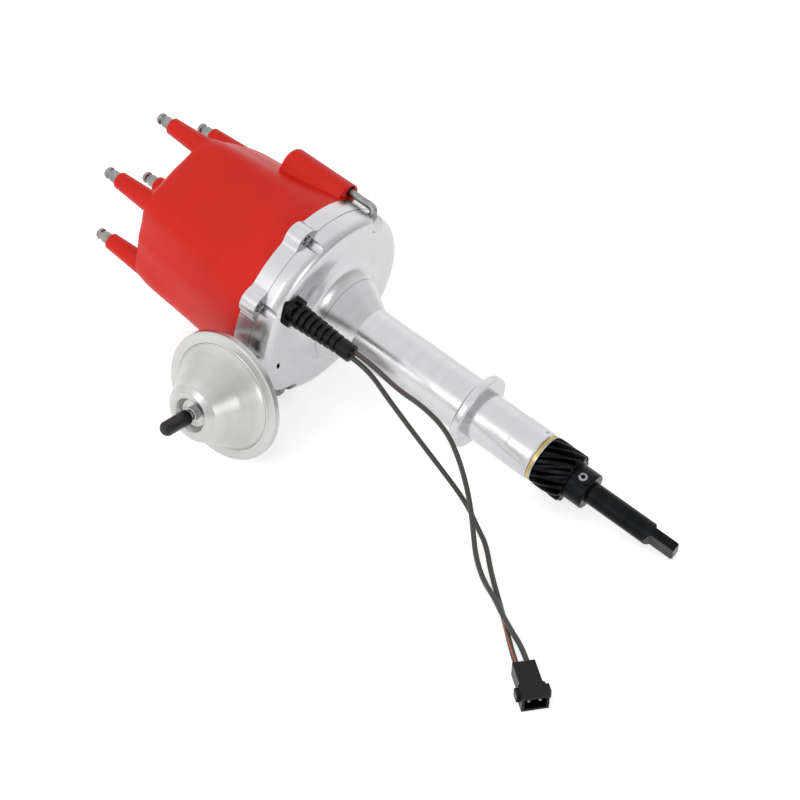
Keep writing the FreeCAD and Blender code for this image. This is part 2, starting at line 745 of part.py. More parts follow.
def plug_terminals():
    """The six plug terminals, one through each outer tower."""
    return Part.makeCompound([terminal(at, ELECTRODE_END, TOWER_END, 0) for at in tower_places()])


def coil_terminal():
    """The middle terminal, which feeds the carbon brush."""
    return terminal(CENTRE, CAP_TOP - 8.0, TOWER_END + COIL_TOWER_RISE, 0)


def carbon_brush():
    """The carbon contact in the middle of the cap, riding on the rotor's blade."""
    foot = BLADE_TOP + AIR
    return turned([(0, foot), (BRUSH_R, foot, 1.0), (BRUSH_R, foot + BRUSH_LENGTH), (0, foot + BRUSH_LENGTH)])


def brush_spring():
    """The light spring above the brush."""
    return coil_spring(BRUSH_R - 0.9, 0.35, BLADE_TOP + AIR + BRUSH_LENGTH + 0.05, CAP_TOP - 8.05, 5)


def hook_rod(angle):
    """One latch rod: slotted head at the top, and a foot bent into the bowl's pocket."""
    head_foot = HOOK_HEAD_TOP - HOOK_HEAD
    corner = V(0, 0, HOOK_FOOT)
    top = V(0, 0, head_foot + 1.0)
    tip = V(-HOOK_FOOT_LENGTH, 0, HOOK_FOOT)
    upper = corner + V(0, 0, HOOK_BEND_R)
    lower = corner - V(HOOK_BEND_R, 0, 0)
    middle = corner + V(-HOOK_BEND_R, 0, HOOK_BEND_R) + V(1, 0, -1).normalize() * HOOK_BEND_R
    path = Part.Wire([
        Part.LineSegment(top, upper).toShape(),
        Part.Arc(upper, middle, lower).toShape(),
        Part.LineSegment(lower, tip).toShape(),
    ])
    section = Part.Wire(Part.makeCircle(HOOK_ROD_R, top, AXIS))
    bar = path.makePipeShell([section], True, False)
    head = turned([
        (0, head_foot),
        (HOOK_HEAD_R, head_foot),
        (HOOK_HEAD_R, HOOK_HEAD_TOP, 0.7),
        (0, HOOK_HEAD_TOP),
    ])
    slot = block(-HOOK_HEAD_R - 1.0, HOOK_HEAD_R + 1.0, -0.6, 0.6, HOOK_HEAD_TOP - 1.3, HOOK_HEAD_TOP + 1.0)
    hook = bar.fuse(head).removeSplitter().cut(slot)
    hook.translate(V(HOOK_RING, 0, 0))
    return turn_about_shaft(hook, angle)


def latch_washer(angle):
    """The plain washer between the latch's head and its spring."""
    top = HOOK_HEAD_TOP - HOOK_HEAD
    washer = ring(HOOK_HEAD_R + 0.1, HOOK_ROD_R + SLIDING, top - 0.8, top)
    washer.translate(latch_place(angle))
    return washer


def latch_spring(angle):
    """The spring that pulls the hook up against the bowl."""
    top = HOOK_HEAD_TOP - HOOK_HEAD - 0.8
    spring = coil_spring(HOOK_ROD_R + 0.4 + LATCH_SPRING_WIRE / 2, LATCH_SPRING_WIRE / 2, LATCH_WELL_FLOOR, top, 5)
    spring.translate(latch_place(angle))
    return spring


def flange_screws():
    """The four socket head screws sunk in the flange bosses."""
    screws = []
    for angle in BOSS_ANGLES:
        foot = SCREW_SEAT - SCREW_HEAD
        head = turned([
            (0, foot),
            (SCREW_HEAD_R, foot, 0.4),
            (SCREW_HEAD_R, SCREW_SEAT),
            (0, SCREW_SEAT),
        ])
        shank = rod(SCREW_R, SCREW_SEAT - 0.5, BOSS_FOOT + SCREW_DEPTH)
        socket = Part.Face(Part.makePolygon([polar(1.5, 60.0 * side, 0) for side in range(7)]))
        socket = socket.extrude(V(0, 0, 1.6))
        socket.translate(V(0, 0, foot))
        screw = head.fuse(shank).removeSplitter().cut(socket)
        screw.translate(polar(SCREW_RING, angle, 0))
        screws.append(screw)
    return Part.makeCompound(screws)


def link_pin_place():
    """The pin on the pickup plate that the vacuum rod pulls."""
    half_travel = ROD_TRAVEL / 2
    return V(-half_travel, CAN_SIDE, 0)


def pickup_plate():
    """The plate that swings about the housing's hub and carries the pickup."""
    plate = ring(PLATE_R, PLATE_HUB_R + RUNNING, PLATE_FOOT, PLATE_TOP)
    windows = []
    for angle in (20.0, 110.0, 200.0):
        at = polar((PLATE_R + MAGNET_OUTER_R) / 2, angle, 0)
        windows.append(rod(2.2, PLATE_FOOT - 1.0, PLATE_TOP + 1.0, (at.x, at.y)))
    plate = plate.cut(windows)
    at = link_pin_place()
    pin = turned([
        (0, FLOOR_TOP + AIR),
        (LINK_PIN_R, FLOOR_TOP + AIR, 0.3),
        (LINK_PIN_R, PLATE_FOOT + 0.5),
        (0, PLATE_FOOT + 0.5),
    ])
    pin.translate(at)
    return plate.fuse(pin).removeSplitter()


def plate_clip():
    """The snap ring that keeps the plate on the hub."""
    foot = PLATE_TOP + 0.1
    clip = ring(PLATE_HUB_R + 2.2, PLATE_HUB_R, foot, foot + CLIP_THICKNESS)
    return clip.cut(block(0, PLATE_HUB_R + 4.0, -2.0, 2.0, foot - 1.0, foot + CLIP_THICKNESS + 1.0))


def ring_magnet():
    """The flat ring magnet on the pickup plate."""
    return ring(MAGNET_OUTER_R, MAGNET_INNER_R, PLATE_TOP, COIL_FOOT)


def pickup_coil():
    """The pickup winding on its flanged bobbin."""
    inner = MAGNET_INNER_R + 0.4
    outer = MAGNET_OUTER_R - 0.6
    return turned([
        (inner, COIL_FOOT),
        (outer, COIL_FOOT),
        (outer, COIL_FOOT + 0.6),
        (outer - 0.9, COIL_FOOT + 0.6),
        (outer - 0.9, POLE_FOOT - 0.6),
        (outer, POLE_FOOT - 0.6),
        (outer, POLE_FOOT),
        (inner, POLE_FOOT),
    ])


def pole_piece():
    """The stator ring with six inward teeth facing the reluctor."""
    top = POLE_FOOT + POLE_THICKNESS
    face = ring(MAGNET_OUTER_R, MAGNET_INNER_R, POLE_FOOT, top)
    teeth = []
    for index in range(CAP_LOBES):
        tooth = block(POLE_TIP_R, MAGNET_INNER_R + 1.0, -1.6, 1.6, POLE_FOOT, top)
        teeth.append(turn_about_shaft(tooth, index * 360.0 / CAP_LOBES))
    body = fuse_all([face] + teeth)
    return body.cut(rod(POLE_TIP_R, POLE_FOOT - 1.0, top + 1.0))


def reluctor():
    """The six pointed trigger wheel pressed on the rotor sleeve."""
    foot = SLEEVE_FOOT + 0.4
    top = foot + RELUCTOR_HEIGHT
    body = ring(RELUCTOR_ROOT_R, SLEEVE_R, foot, top)
    fins = []
    for index in range(CAP_LOBES):
        fin = block(RELUCTOR_ROOT_R - 1.5, RELUCTOR_TIP_R + 1.0, -1.1, 1.1, foot, top)
        fins.append(turn_about_shaft(fin, 15.0 + index * 360.0 / CAP_LOBES))
    body = fuse_all([body] + fins)
    return body.common(rod(RELUCTOR_TIP_R, foot - 1.0, top + 1.0))


def spring_post_place(angle):
    """The fixed end of one advance spring, beside a rotor leg on the advance plate."""
    return polar(ADVANCE_PLATE_R - 3.0, angle - 16.0, 0)


def rotor_sleeve():
    """The sleeve that turns on the shaft's top end, with the advance plate and its two spring posts."""
    sleeve = ring(SLEEVE_R, SHAFT_R + RUNNING, SLEEVE_FOOT, ADVANCE_PLATE_FOOT + 0.5)
    plate = ring(ADVANCE_PLATE_R, SHAFT_R + RUNNING, ADVANCE_PLATE_FOOT, ADVANCE_PLATE_TOP)
    parts = [sleeve, plate]
    for angle in (90.0, 270.0):
        at = spring_post_place(angle)
        parts.append(rod(SPRING_POST_R, ADVANCE_PLATE_TOP - 0.5, POST_TOP, (at.x, at.y)))
    body = fuse_all(parts)
    holes = []
    for angle in (90.0, 270.0):
        at = polar(ROTOR_POST_RING, angle, 0)
        holes.append(rod(SCREW_R - 0.4, ADVANCE_PLATE_FOOT - 1.0, ADVANCE_PLATE_TOP + 1.0, (at.x, at.y)))
    for angle in (0.0, 180.0):
        at = weight_pin_place(angle)
        holes.append(rod(WEIGHT_PIN_R, ADVANCE_PLATE_FOOT - 1.0, ADVANCE_PLATE_TOP + 1.0, (at.x, at.y)))
    return body.cut(holes)


def weight_pin_place(angle):
    """The pivot of one advance weight, at the trailing end of its crescent."""
    return polar(WEIGHT_PIN_RING, angle - 40.0, 0)


def advance_weight(angle):
    """One crescent weight, thrown outwards about its pin as the engine speeds up."""
    low = WEIGHT_FOOT
    top = WEIGHT_TOP
    crescent = ring(WEIGHT_OUTER_R, WEIGHT_INNER_R + 4.0, low, top)
    spread = math.radians(WEIGHT_SPREAD)
    reach = 2 * WEIGHT_OUTER_R
    wedge = Part.Face(Part.makePolygon([
        V(0, 0, low - 1.0),
        V(reach * math.cos(spread), -reach * math.sin(spread), low - 1.0),
        V(reach, 0, low - 1.0),
        V(reach * math.cos(spread), reach * math.sin(spread), low - 1.0),
        V(0, 0, low - 1.0),
    ])).extrude(V(0, 0, WEIGHT_THICKNESS + 2.0))
    crescent = crescent.common(wedge)
    corners = [edge for edge in crescent.Edges if edge.BoundBox.ZLength > 1.0 and len(edge.Vertexes) == 2]
    crescent = crescent.makeFillet(2.2, corners)
    toe = block(WEIGHT_INNER_R, WEIGHT_INNER_R + 6.0, -3.5, 3.5, low, top)
    crescent = crescent.fuse(turn_about_shaft(toe, 18.0)).removeSplitter()
    crescent = turn_about_shaft(crescent, angle)
    at = weight_pin_place(angle)
    return crescent.cut(rod(WEIGHT_PIN_R + RUNNING, low - 1.0, top + 1.0, (at.x, at.y)))


def weight_pins():
    """The two pivot pins riveted into the advance plate, with their retaining heads."""
    pins = []
    for angle in (0.0, 180.0):
        pin = turned([
            (0, ADVANCE_PLATE_FOOT),
            (WEIGHT_PIN_R, ADVANCE_PLATE_FOOT),
            (WEIGHT_PIN_R, WEIGHT_TOP + AIR),
            (WEIGHT_PIN_R + 1.4, WEIGHT_TOP + AIR),
            (WEIGHT_PIN_R + 1.4, WEIGHT_TOP + AIR + 0.8, 0.3),
            (0, WEIGHT_TOP + AIR + 0.8),
        ])
        pin.translate(weight_pin_place(angle))
        pins.append(pin)
    return Part.makeCompound(pins)


def advance_cam():
    """The driving cam fixed on the shaft's top, with two arms for the springs."""
    foot = ADVANCE_PLATE_TOP + AIR
    top = foot + CAM_THICKNESS
    oval = Part.Face(Part.Wire(Part.Ellipse(V(0, 0, foot), CAM_LONG_R, CAM_SHORT_R).toShape()))
    oval = oval.extrude(V(0, 0, CAM_THICKNESS))
    arm_foot = WEIGHT_TOP + AIR
    arm_top = arm_foot + CAM_ARM_THICKNESS
    half = CAM_ARM_REACH + SPRING_POST_R
    arm = block(-half, half, -3.0, 3.0, arm_foot, arm_top)
    neck = rod(CAM_SHORT_R - 0.6, top - 0.5, arm_top)
    arms = [turn_about_shaft(arm, 90.0)]
    for side in (1, -1):
        arms.append(rod(SPRING_POST_R, arm_foot, POST_TOP, (0, side * CAM_ARM_REACH)))
    body = fuse_all([oval, neck] + arms)
    return body.cut(rod(SHAFT_R + RUNNING / 2, foot - 1.0, POST_TOP + 1.0))


def advance_springs():
    """The two small springs that hold the advance back at low speed."""
    springs = []
    for side in (1, -1):
        post = V(0, side * CAM_ARM_REACH, 0)
        along = spring_post_place(side * 90.0) - post
        length = along.Length - 2 * SPRING_POST_R
        spring = coil_spring(ADVANCE_SPRING_R, ADVANCE_SPRING_WIRE, 0, length, 5)
        turn = FreeCAD.Rotation(AXIS, along)
        start = post + V(along.x, along.y, 0).normalize() * SPRING_POST_R + V(0, 0, SPRING_HEIGHT)
        spring.Placement = FreeCAD.Placement(start, turn).multiply(spring.Placement)
        springs.append(spring)
    return Part.makeCompound(springs)


def rotor():
    """The moulded rotor: two legs on the advance plate, a skirt disc and the raised arm."""
    legs = []
    for angle in (90.0, 270.0):
        at = polar(ROTOR_POST_RING, angle, 0)
        legs.append(rod(ROTOR_POST_R, ADVANCE_PLATE_TOP, ROTOR_DISC_FOOT + 1.0, (at.x, at.y)))
    disc_top = ROTOR_DISC_FOOT + ROTOR_DISC_THICKNESS
    arm_foot = BLADE_TOP - BLADE_THICKNESS - 4.0
    body = turned([
        (0, ROTOR_DISC_FOOT),
        (ROTOR_DISC_R, ROTOR_DISC_FOOT, 0.6),
        (ROTOR_DISC_R, disc_top, 1.0),
        (ROTOR_NECK_R + 2.0, disc_top, 3.0),
        (ROTOR_NECK_R, arm_foot + 4.0),
        (0, arm_foot + 4.0),
    ])
    arm = block(0, BLADE_R - 4.0, -BLADE_WIDTH / 2 - 1.5, BLADE_WIDTH / 2 + 1.5, arm_foot, arm_foot + 4.0)
    arm = turn_about_shaft(arm, LOBE_ANGLE)
    gusset = Part.makeCone(ROTOR_NECK_R, ROTOR_NECK_R - 2.0, 6.0, V(0, 0, arm_foot - 4.0), AXIS)
    body = fuse_all([body, arm, gusset] + legs)
    holes = []
    for angle in (90.0, 270.0):
        at = polar(ROTOR_POST_RING, angle, 0)
        holes.append(rod(SCREW_R - 0.4, ADVANCE_PLATE_TOP - 1.0, ADVANCE_PLATE_TOP + 7.0, (at.x, at.y)))
    return body.cut(holes)


def rotor_screws():
    """The two screws that hold the rotor's legs, from below the advance plate."""
    screws = []
    for angle in (90.0, 270.0):
        head = turned([
            (0, ADVANCE_PLATE_FOOT - 1.8),
            (3.0, ADVANCE_PLATE_FOOT - 1.8, 0.6),
            (3.0, ADVANCE_PLATE_FOOT),
            (0, ADVANCE_PLATE_FOOT),
        ])
        shank = rod(SCREW_R - 0.4, ADVANCE_PLATE_FOOT - 0.5, ADVANCE_PLATE_TOP + 6.0)
        slot = block(-4.0, 4.0, -0.4, 0.4, ADVANCE_PLATE_FOOT - 2.0, ADVANCE_PLATE_FOOT - 1.0)
        screw = head.fuse(shank).removeSplitter().cut(slot)
        screw.translate(polar(ROTOR_POST_RING, angle, 0))
        screws.append(screw)
    return Part.makeCompound(screws)


def rotor_blade():
    """The brass strip from the middle of the rotor to its tip."""
    strip = block(-5.0, BLADE_R, -BLADE_WIDTH / 2, BLADE_WIDTH / 2, BLADE_TOP - BLADE_THICKNESS, BLADE_TOP)
    corners = [edge for edge in strip.Edges if edge.BoundBox.ZLength > 1.0 and edge.BoundBox.XMin < 0]
    strip = strip.makeFillet(3.5, corners)
    return turn_about_shaft(strip.common(rod(BLADE_R, BLADE_TOP - BLADE_THICKNESS - 1.0, BLADE_TOP + 1.0)), LOBE_ANGLE)


def vacuum_bracket():
    """The pressed rear cup of the vacuum can, with the bracket that screws to the housing's pad."""
    cup = rounded_face([
        (7.0, PAD_X + BRACKET_THICKNESS),
        (9.0, PAD_X + BRACKET_THICKNESS),
        (REAR_CUP_R - 3.0, REAR_CUP_X, 3.0),
        (REAR_CUP_R + 1.0, CAN_RIM_X - CAN_SHEET, 1.5),
        (CAN_RIM_R, CAN_RIM_X - CAN_SHEET),
        (CAN_RIM_R, CAN_RIM_X),
        (REAR_CUP_R, CAN_RIM_X),
        (REAR_CUP_R - 4.0, REAR_CUP_X + CAN_SHEET),
        (9.0, REAR_CUP_X - 1.0),
        (7.0, REAR_CUP_X - 1.0),
    ]).revolve(CENTRE, AXIS, 360)
    cup = on_can(cup)
    plate = block(PAD_X, PAD_X + BRACKET_THICKNESS,
                  CAN_SIDE + PAD_SHIFT - PAD_WIDTH / 2 + 1.0, CAN_SIDE + PAD_SHIFT + PAD_WIDTH / 2 - 1.0,
                  BOWL_FLOOR + 2.5, BOWL_FLOOR + 1.5 + PAD_HEIGHT)
    corners = [edge for edge in plate.Edges if abs(edge.BoundBox.XLength - BRACKET_THICKNESS) < 1e-6]
    plate = plate.makeFillet(2.4, corners)
    body = fuse_all([plate, cup])
    tools = [on_can(rod(4.6, PAD_X - 2.0, REAR_CUP_X + 4.0))]
    for side in bracket_screw_sides():
        tools.append(Part.makeCylinder(SCREW_R, 12.0, V(PAD_X - 1.0, side, CAN_HEIGHT + 4.4), V(1, 0, 0)))
        tools.append(Part.makeCylinder(3.5, 12.0, V(PAD_X + BRACKET_THICKNESS, side, CAN_HEIGHT + 4.4), V(1, 0, 0)))
    return body.cut(tools)


def bracket_screws():
    """The two round head screws of the vacuum bracket."""
    screws = []
    for side in bracket_screw_sides():
        start = PAD_X + BRACKET_THICKNESS
        head = turned([(0, start), (3.2, start), (3.2, start + 2.0, 1.0), (0, start + 2.0)])
        shank = rod(SCREW_R, PAD_X - 8.0, start + 0.5)
        screw = head.fuse(shank).removeSplitter()
        screw = screw.cut(block(-4.0, 4.0, -0.45, 0.45, start + 1.0, start + 3.0))
        screws.append(along_x(screw, 0, side, CAN_HEIGHT + 4.4))
    return Part.makeCompound(screws)


def vacuum_dome():
    """The pressed front dome: rolled rim, flat flange, swelling cone and dished nose."""
    skin = rounded_face([
        (CAN_RIM_R + CAN_SHEET, CAN_RIM_X - 2 * CAN_SHEET),
        (CAN_RIM_R + CAN_SHEET, CAN_RIM_X + 1.5 * CAN_SHEET, 1.0),
        (CAN_FLANGE_R, CAN_RIM_X + 1.5 * CAN_SHEET, 0.8),
        (CAN_FLANGE_R - 1.2, CAN_RIM_X + 3.6, 1.6),
        (DOME_NOSE_R + 8.6, CAN_RIM_X + 12.5, 12.0),
        (DOME_NOSE_R + 1.2, DOME_NOSE_X - 2.6, 3.0),
        (DOME_NOSE_R - 2.2, DOME_NOSE_X, 1.6),
        (DISH_R, DOME_NOSE_X, 1.4),
        (DISH_R - 2.2, DISH_FLOOR_X, 1.2),
        (NIPPLE_R + 0.4, DISH_FLOOR_X),
        (NIPPLE_R + 0.4, DISH_FLOOR_X - CAN_SHEET),
        (DISH_R - 2.8, DISH_FLOOR_X - CAN_SHEET, 1.0),
        (DISH_R - 0.6, DOME_NOSE_X - CAN_SHEET, 1.0),
        (DOME_NOSE_R - 3.0, DOME_NOSE_X - CAN_SHEET, 0.8),
        (DOME_NOSE_R - 0.2, DOME_NOSE_X - 3.2, 2.0),
        (DOME_NOSE_R + 7.4, CAN_RIM_X + 12.0, 12.0),
        (CAN_FLANGE_R - 2.4, CAN_RIM_X + 3.2, 1.0),
        (CAN_FLANGE_R - 2.0, CAN_RIM_X + 0.6),
        (CAN_RIM_R + 0.05, CAN_RIM_X + 0.6),
        (CAN_RIM_R + 0.05, CAN_RIM_X - 2 * CAN_SHEET),
    ]).revolve(CENTRE, AXIS, 360)
    return on_can(skin)


def diaphragm():
    """The rubber diaphragm clamped between the can's halves."""
    skin = rounded_face([
        (0, CAN_RIM_X - 3.0),
        (13.5, CAN_RIM_X - 3.0),
        (REAR_CUP_R - 2.6, CAN_RIM_X - 0.4, 1.0),
        (REAR_CUP_R - 0.8, CAN_RIM_X - 0.4),
        (REAR_CUP_R - 0.8, CAN_RIM_X + 0.2),
        (REAR_CUP_R - 3.2, CAN_RIM_X + 0.2, 0.6),
        (13.0, CAN_RIM_X - 2.2),
        (0, CAN_RIM_X - 2.2),
    ]).revolve(CENTRE, AXIS, 360)
    return on_can(skin)


def diaphragm_plate():
    """The steel cup riveted to the diaphragm, which the spring pushes on."""
    foot = CAN_RIM_X - 2.2
    plate = turned([
        (0, foot),
        (11.5, foot, 0.5),
        (11.5, foot + 2.2),
        (10.7, foot + 2.2),
        (10.7, foot + 0.9),
        (0, foot + 0.9),
    ])
    return on_can(plate)


def vacuum_spring():
    """The spring between the diaphragm and the dome."""
    top = round(DISH_FLOOR_X - CAN_SHEET - RUNNING, 3)
    return on_can(coil_spring(8.6, 0.6, CAN_RIM_X - 1.3, top, 5))


def pull_rod():
    """The flat link from the diaphragm to the pickup plate, with an eye round the plate's pin."""
    pin = link_pin_place()
    low = CAN_HEIGHT - ROD_THICKNESS / 2
    top = CAN_HEIGHT + ROD_THICKNESS / 2
    strip = block(pin.x, CAN_RIM_X - 3.0, CAN_SIDE - ROD_WIDTH / 2, CAN_SIDE + ROD_WIDTH / 2, low, top)
    eye = rod(LINK_PIN_R + 2.4, low, top, (pin.x, pin.y))
    link = fuse_all([strip, eye])
    return link.cut(rod(LINK_PIN_R + 0.2, low - 1.0, top + 1.0, (pin.x, pin.y)))


def vacuum_nipple():
    """The hexagon and hose tube in the middle of the dome."""
    corner = HEX_FLATS / 2 / math.cos(math.radians(30))
    hexagon = Part.Face(Part.makePolygon([polar(corner, 60.0 * side, 0) for side in range(7)]))
    hexagon = hexagon.extrude(V(0, 0, HEX_LENGTH))
    hexagon.translate(V(0, 0, DISH_FLOOR_X))
    cone = turned([
        (0, DISH_FLOOR_X),
        (HEX_FLATS / 2 + 0.2, DISH_FLOOR_X),
        (HEX_FLATS / 2 + 0.2, DISH_FLOOR_X + HEX_LENGTH, 0.8),
        (0, DISH_FLOOR_X + HEX_LENGTH),
    ])
    tube = turned([
        (0, DISH_FLOOR_X - CAN_SHEET - 1.2),
        (NIPPLE_R + 0.3, DISH_FLOOR_X - CAN_SHEET - 1.2),
        (NIPPLE_R + 0.3, DISH_FLOOR_X + 1.0),
        (NIPPLE_R, DISH_FLOOR_X + 1.0),
        (NIPPLE_R, NIPPLE_END_X, 0.3),
        (0, NIPPLE_END_X),
    ])
    body = fuse_all([hexagon.common(cone), tube])
    bore = rod(NIPPLE_BORE, DISH_FLOOR_X - 5.0, NIPPLE_END_X + 1.0)
    return on_can(body.cut(bore))


def nipple_cap():
    """The black vinyl cap pushed over the hose tube."""
    body = turned([
        (0, VINYL_START_X),
        (VINYL_R, VINYL_START_X, 0.6),
        (VINYL_R, VINYL_END_X, 3.2),
        (0, VINYL_END_X),
    ])
    hole = rod(NIPPLE_R + RUNNING, VINYL_START_X - 1.0, NIPPLE_END_X + 1.2)
    return on_can(body.cut(hole))


def strain_relief():
    """The ribbed nylon strain relief snapped into the bowl's floor."""
    head_foot = BOWL_FLOOR - GLAND_HEAD_LENGTH
    half = GLAND_HEAD / 2
    head = block(-half, half, -half, half, head_foot, BOWL_FLOOR)
    upright = [edge for edge in head.Edges if edge.BoundBox.ZLength > 1.0]
    head = head.makeFillet(1.2, upright)
    notches = []
    for angle in (0.0, 90.0, 180.0, 270.0):
        notch = block(half - 1.4, half + 1.0, -1.6, 1.6, head_foot - 1.0, BOWL_FLOOR - 1.2)
        notches.append(turn_about_shaft(notch, angle))
    head = head.cut(notches)
    neck = rod(GLAND_NECK_R, BOWL_FLOOR - 1.0, FLOOR_TOP + 0.3)
    barb = Part.makeCone(GLAND_NECK_R + 0.3, GLAND_NECK_R - 0.4, 2.0, V(0, 0, FLOOR_TOP), AXIS)
    core_end = GLAND_END + GLAND_COLLAR
    core = Part.makeCone(GLAND_END_R - 1.3, GLAND_START_R - 2.0, head_foot - core_end + 1.0,
                         V(0, 0, core_end - 0.5), AXIS)
    parts = [head, neck, barb, core]
    pitch = (GLAND_RIB_START - core_end) / GLAND_RIBS
    for index in range(GLAND_RIBS):
        share = (index + 0.5) / GLAND_RIBS
        radius = GLAND_END_R + (GLAND_START_R - GLAND_END_R) * share
        foot = core_end + pitch * index + pitch * 0.45
        parts.append(rod(radius, foot, foot + pitch * 0.5))
    collar = turned([
        (0, GLAND_END),
        (GLAND_END_R, GLAND_END, 0.6),
        (GLAND_END_R, core_end, 0.4),
        (0, core_end),
    ])
    parts.append(collar)
    body = fuse_all(parts)
    body.translate(gland_place(0))
    return body


def lead_tube(points):
    """One round lead along straight runs joined by tangent arcs; also gives its length and radii."""
    edges = []
    radii = []
    start = points[0]
    for index in range(1, len(points) - 1):
        corner = points[index]
        back = points[index - 1] - corner
        ahead = points[index + 1] - corner
        shorter = min(back.Length, ahead.Length)
        back.normalize()
        ahead.normalize()
        half_turn = (math.pi - back.getAngle(ahead)) / 2
        radius = 0.45 * shorter / math.tan(half_turn)
        reach = 0.45 * shorter
        bisector = (back + ahead).normalize()
        arc_start = corner + back * reach
        arc_end = corner + ahead * reach
        middle = corner + bisector * (radius / math.cos(half_turn) - radius)
        edges.append(Part.LineSegment(start, arc_start).toShape())
        edges.append(Part.Arc(arc_start, middle, arc_end).toShape())
        radii.append(radius)
        start = arc_end
    edges.append(Part.LineSegment(start, points[-1]).toShape())
    path = Part.Wire(edges)
    section = Part.Wire(Part.makeCircle(LEAD_R, points[0], points[1] - points[0]))
    tube = path.makePipeShell([section], True, False)
    return tube, path.Length, radii


def sky():
    """The upward direction of the resting pose, about the shaft."""
    dip = math.radians(REST_DIP)
    turn = math.radians(REST_SKY)
    return V(math.cos(dip) * math.cos(turn), math.cos(dip) * math.sin(turn), math.sin(dip))


def resting_placement():
    """Turns the shaft's axes into the bench's: +Z up, +X towards the gear end."""
    up = sky()
    ahead = (V(0, 0, -1) + up * math.sin(math.radians(REST_DIP))).normalize()
    side = up.cross(ahead)
    matrix = FreeCAD.Matrix(
        ahead.x, ahead.y, ahead.z, 0,
        side.x, side.y, side.z, 0,
        up.x, up.y, up.z, 0,
        0, 0, 0, 1,
    )
    return FreeCAD.Placement(matrix)


def shaft_nodes():
    """Every piece, built about the shaft, by the name of its node."""
    latches = {"front": EAR_ANGLES[0], "rear": EAR_ANGLES[1]}
    nodes = {
        "housing": housing(),
        "upper_bushing": bushing(HUB_TOP - BUSH_LENGTH),
        "lower_bushing": bushing(SHANK_END),
        "flange_screws": flange_screws(),
        "cap": cap(),
        "plug_terminals": plug_terminals(),
        "coil_terminal": coil_terminal(),
        "carbon_brush": carbon_brush(),
        "brush_spring": brush_spring(),
        "shaft": shaft(),
        "drive_gear": drive_gear(),
        "roll_pin": roll_pin(),
        "thrust_washer": ring(WASHER_R, SHAFT_R + SLIDING, SHIM_TOP, WASHER_TOP),
        "thrust_shim": ring(WASHER_R - 0.3, SHAFT_R + SLIDING, GEAR_TOP, SHIM_TOP),
        "advance_cam": advance_cam(),
        "rotor_sleeve": rotor_sleeve(),
        "reluctor": reluctor(),
        "weight_pins": weight_pins(),
        "advance_weight_a": advance_weight(0.0),
        "advance_weight_b": advance_weight(180.0),
        "advance_springs": advance_springs(),
        "rotor": rotor(),
        "rotor_screws": rotor_screws(),
        "rotor_blade": rotor_blade(),
        "pickup_plate": pickup_plate(),
        "plate_clip": plate_clip(),
        "ring_magnet": ring_magnet(),
        "pickup_coil": pickup_coil(),
        "pole_piece": pole_piece(),
        "pull_rod": pull_rod(),
        "diaphragm": diaphragm(),
        "diaphragm_plate": diaphragm_plate(),
        "vacuum_spring": vacuum_spring(),
        "vacuum_bracket": vacuum_bracket(),
        "bracket_screws": bracket_screws(),
        "vacuum_dome": vacuum_dome(),
        "vacuum_nipple": vacuum_nipple(),
        "nipple_cap": nipple_cap(),
        "strain_relief": strain_relief(),
    }
    for name, angle in latches.items():
        nodes["latch_hook_" + name] = hook_rod(angle)
        nodes["latch_washer_" + name] = latch_washer(angle)
        nodes["latch_spring_" + name] = latch_spring(angle)
    return nodes


def plug_placement():
    """Puts the plug, built along X on its underside, where it lies on the bench."""
    rotation = FreeCAD.Rotation(AXIS, PLUG_ANGLE)
    return FreeCAD.Placement(V(PLUG_PLACE[0], PLUG_PLACE[1], BENCH), rotation)


def plug_shell():
    """The two way plug's housing: a narrow rear, an open shroud in front and a lug on each side."""
    rear = block(0, PLUG_LENGTH, -PLUG_WIDTH / 2, PLUG_WIDTH / 2, 0, PLUG_HEIGHT)
    front = PLUG_LENGTH - SHROUD_LENGTH
    shroud = block(front, PLUG_LENGTH, -SHROUD_WIDTH / 2, SHROUD_WIDTH / 2, 0, PLUG_HEIGHT)
    upright = [edge for edge in shroud.Edges if edge.BoundBox.ZLength > 1 and edge.BoundBox.XMax < front + 1]
    shroud = shroud.makeChamfer(0.8, upright)
    parts = [rear, shroud]
    for side in (1, -1):
        lug = block(front + 1.0, front + 6.0, 0, LUG_WIDTH, PLUG_HEIGHT * 0.35, PLUG_HEIGHT - 1.0)
        lug.translate(V(0, SHROUD_WIDTH / 2 - (LUG_WIDTH if side < 0 else 0), 0))
        if side < 0:
            lug.translate(V(0, -SHROUD_WIDTH, 0))
        parts.append(lug)
    shell = fuse_all(parts)
    inside = SHROUD_WIDTH / 2 - PLUG_WALL
    tools = [block(PLUG_LENGTH - CAVITY_DEPTH, PLUG_LENGTH + 1.0, -inside, inside, PLUG_WALL,
                   PLUG_HEIGHT - PLUG_WALL)]
    tools.extend(contact_bar(side) for side in (1, -1))
    shell = shell.cut(tools)
    shell.Placement = plug_placement()
    return shell


def contact_bar(side):
    """One round contact along the plug."""
    start = V(PLUG_LENGTH / 3, side * CONTACT_SPACING / 2, PLUG_HEIGHT / 2)
    return Part.makeCylinder(CONTACT_R, PLUG_LENGTH * 2 / 3 - CONTACT_SETBACK, start, V(1, 0, 0))


def plug_contacts():
    """The two silvery contacts of the plug."""
    contacts = []
    for side in (1, -1):
        contact = contact_bar(side)
        nose = [edge for edge in contact.Edges if edge.BoundBox.XMin > PLUG_LENGTH - CONTACT_SETBACK - 0.01]
        contact = contact.makeFillet(0.5, nose)
        contact.Placement = plug_placement().multiply(contact.Placement)
        contacts.append(contact)
    return Part.makeCompound(contacts)


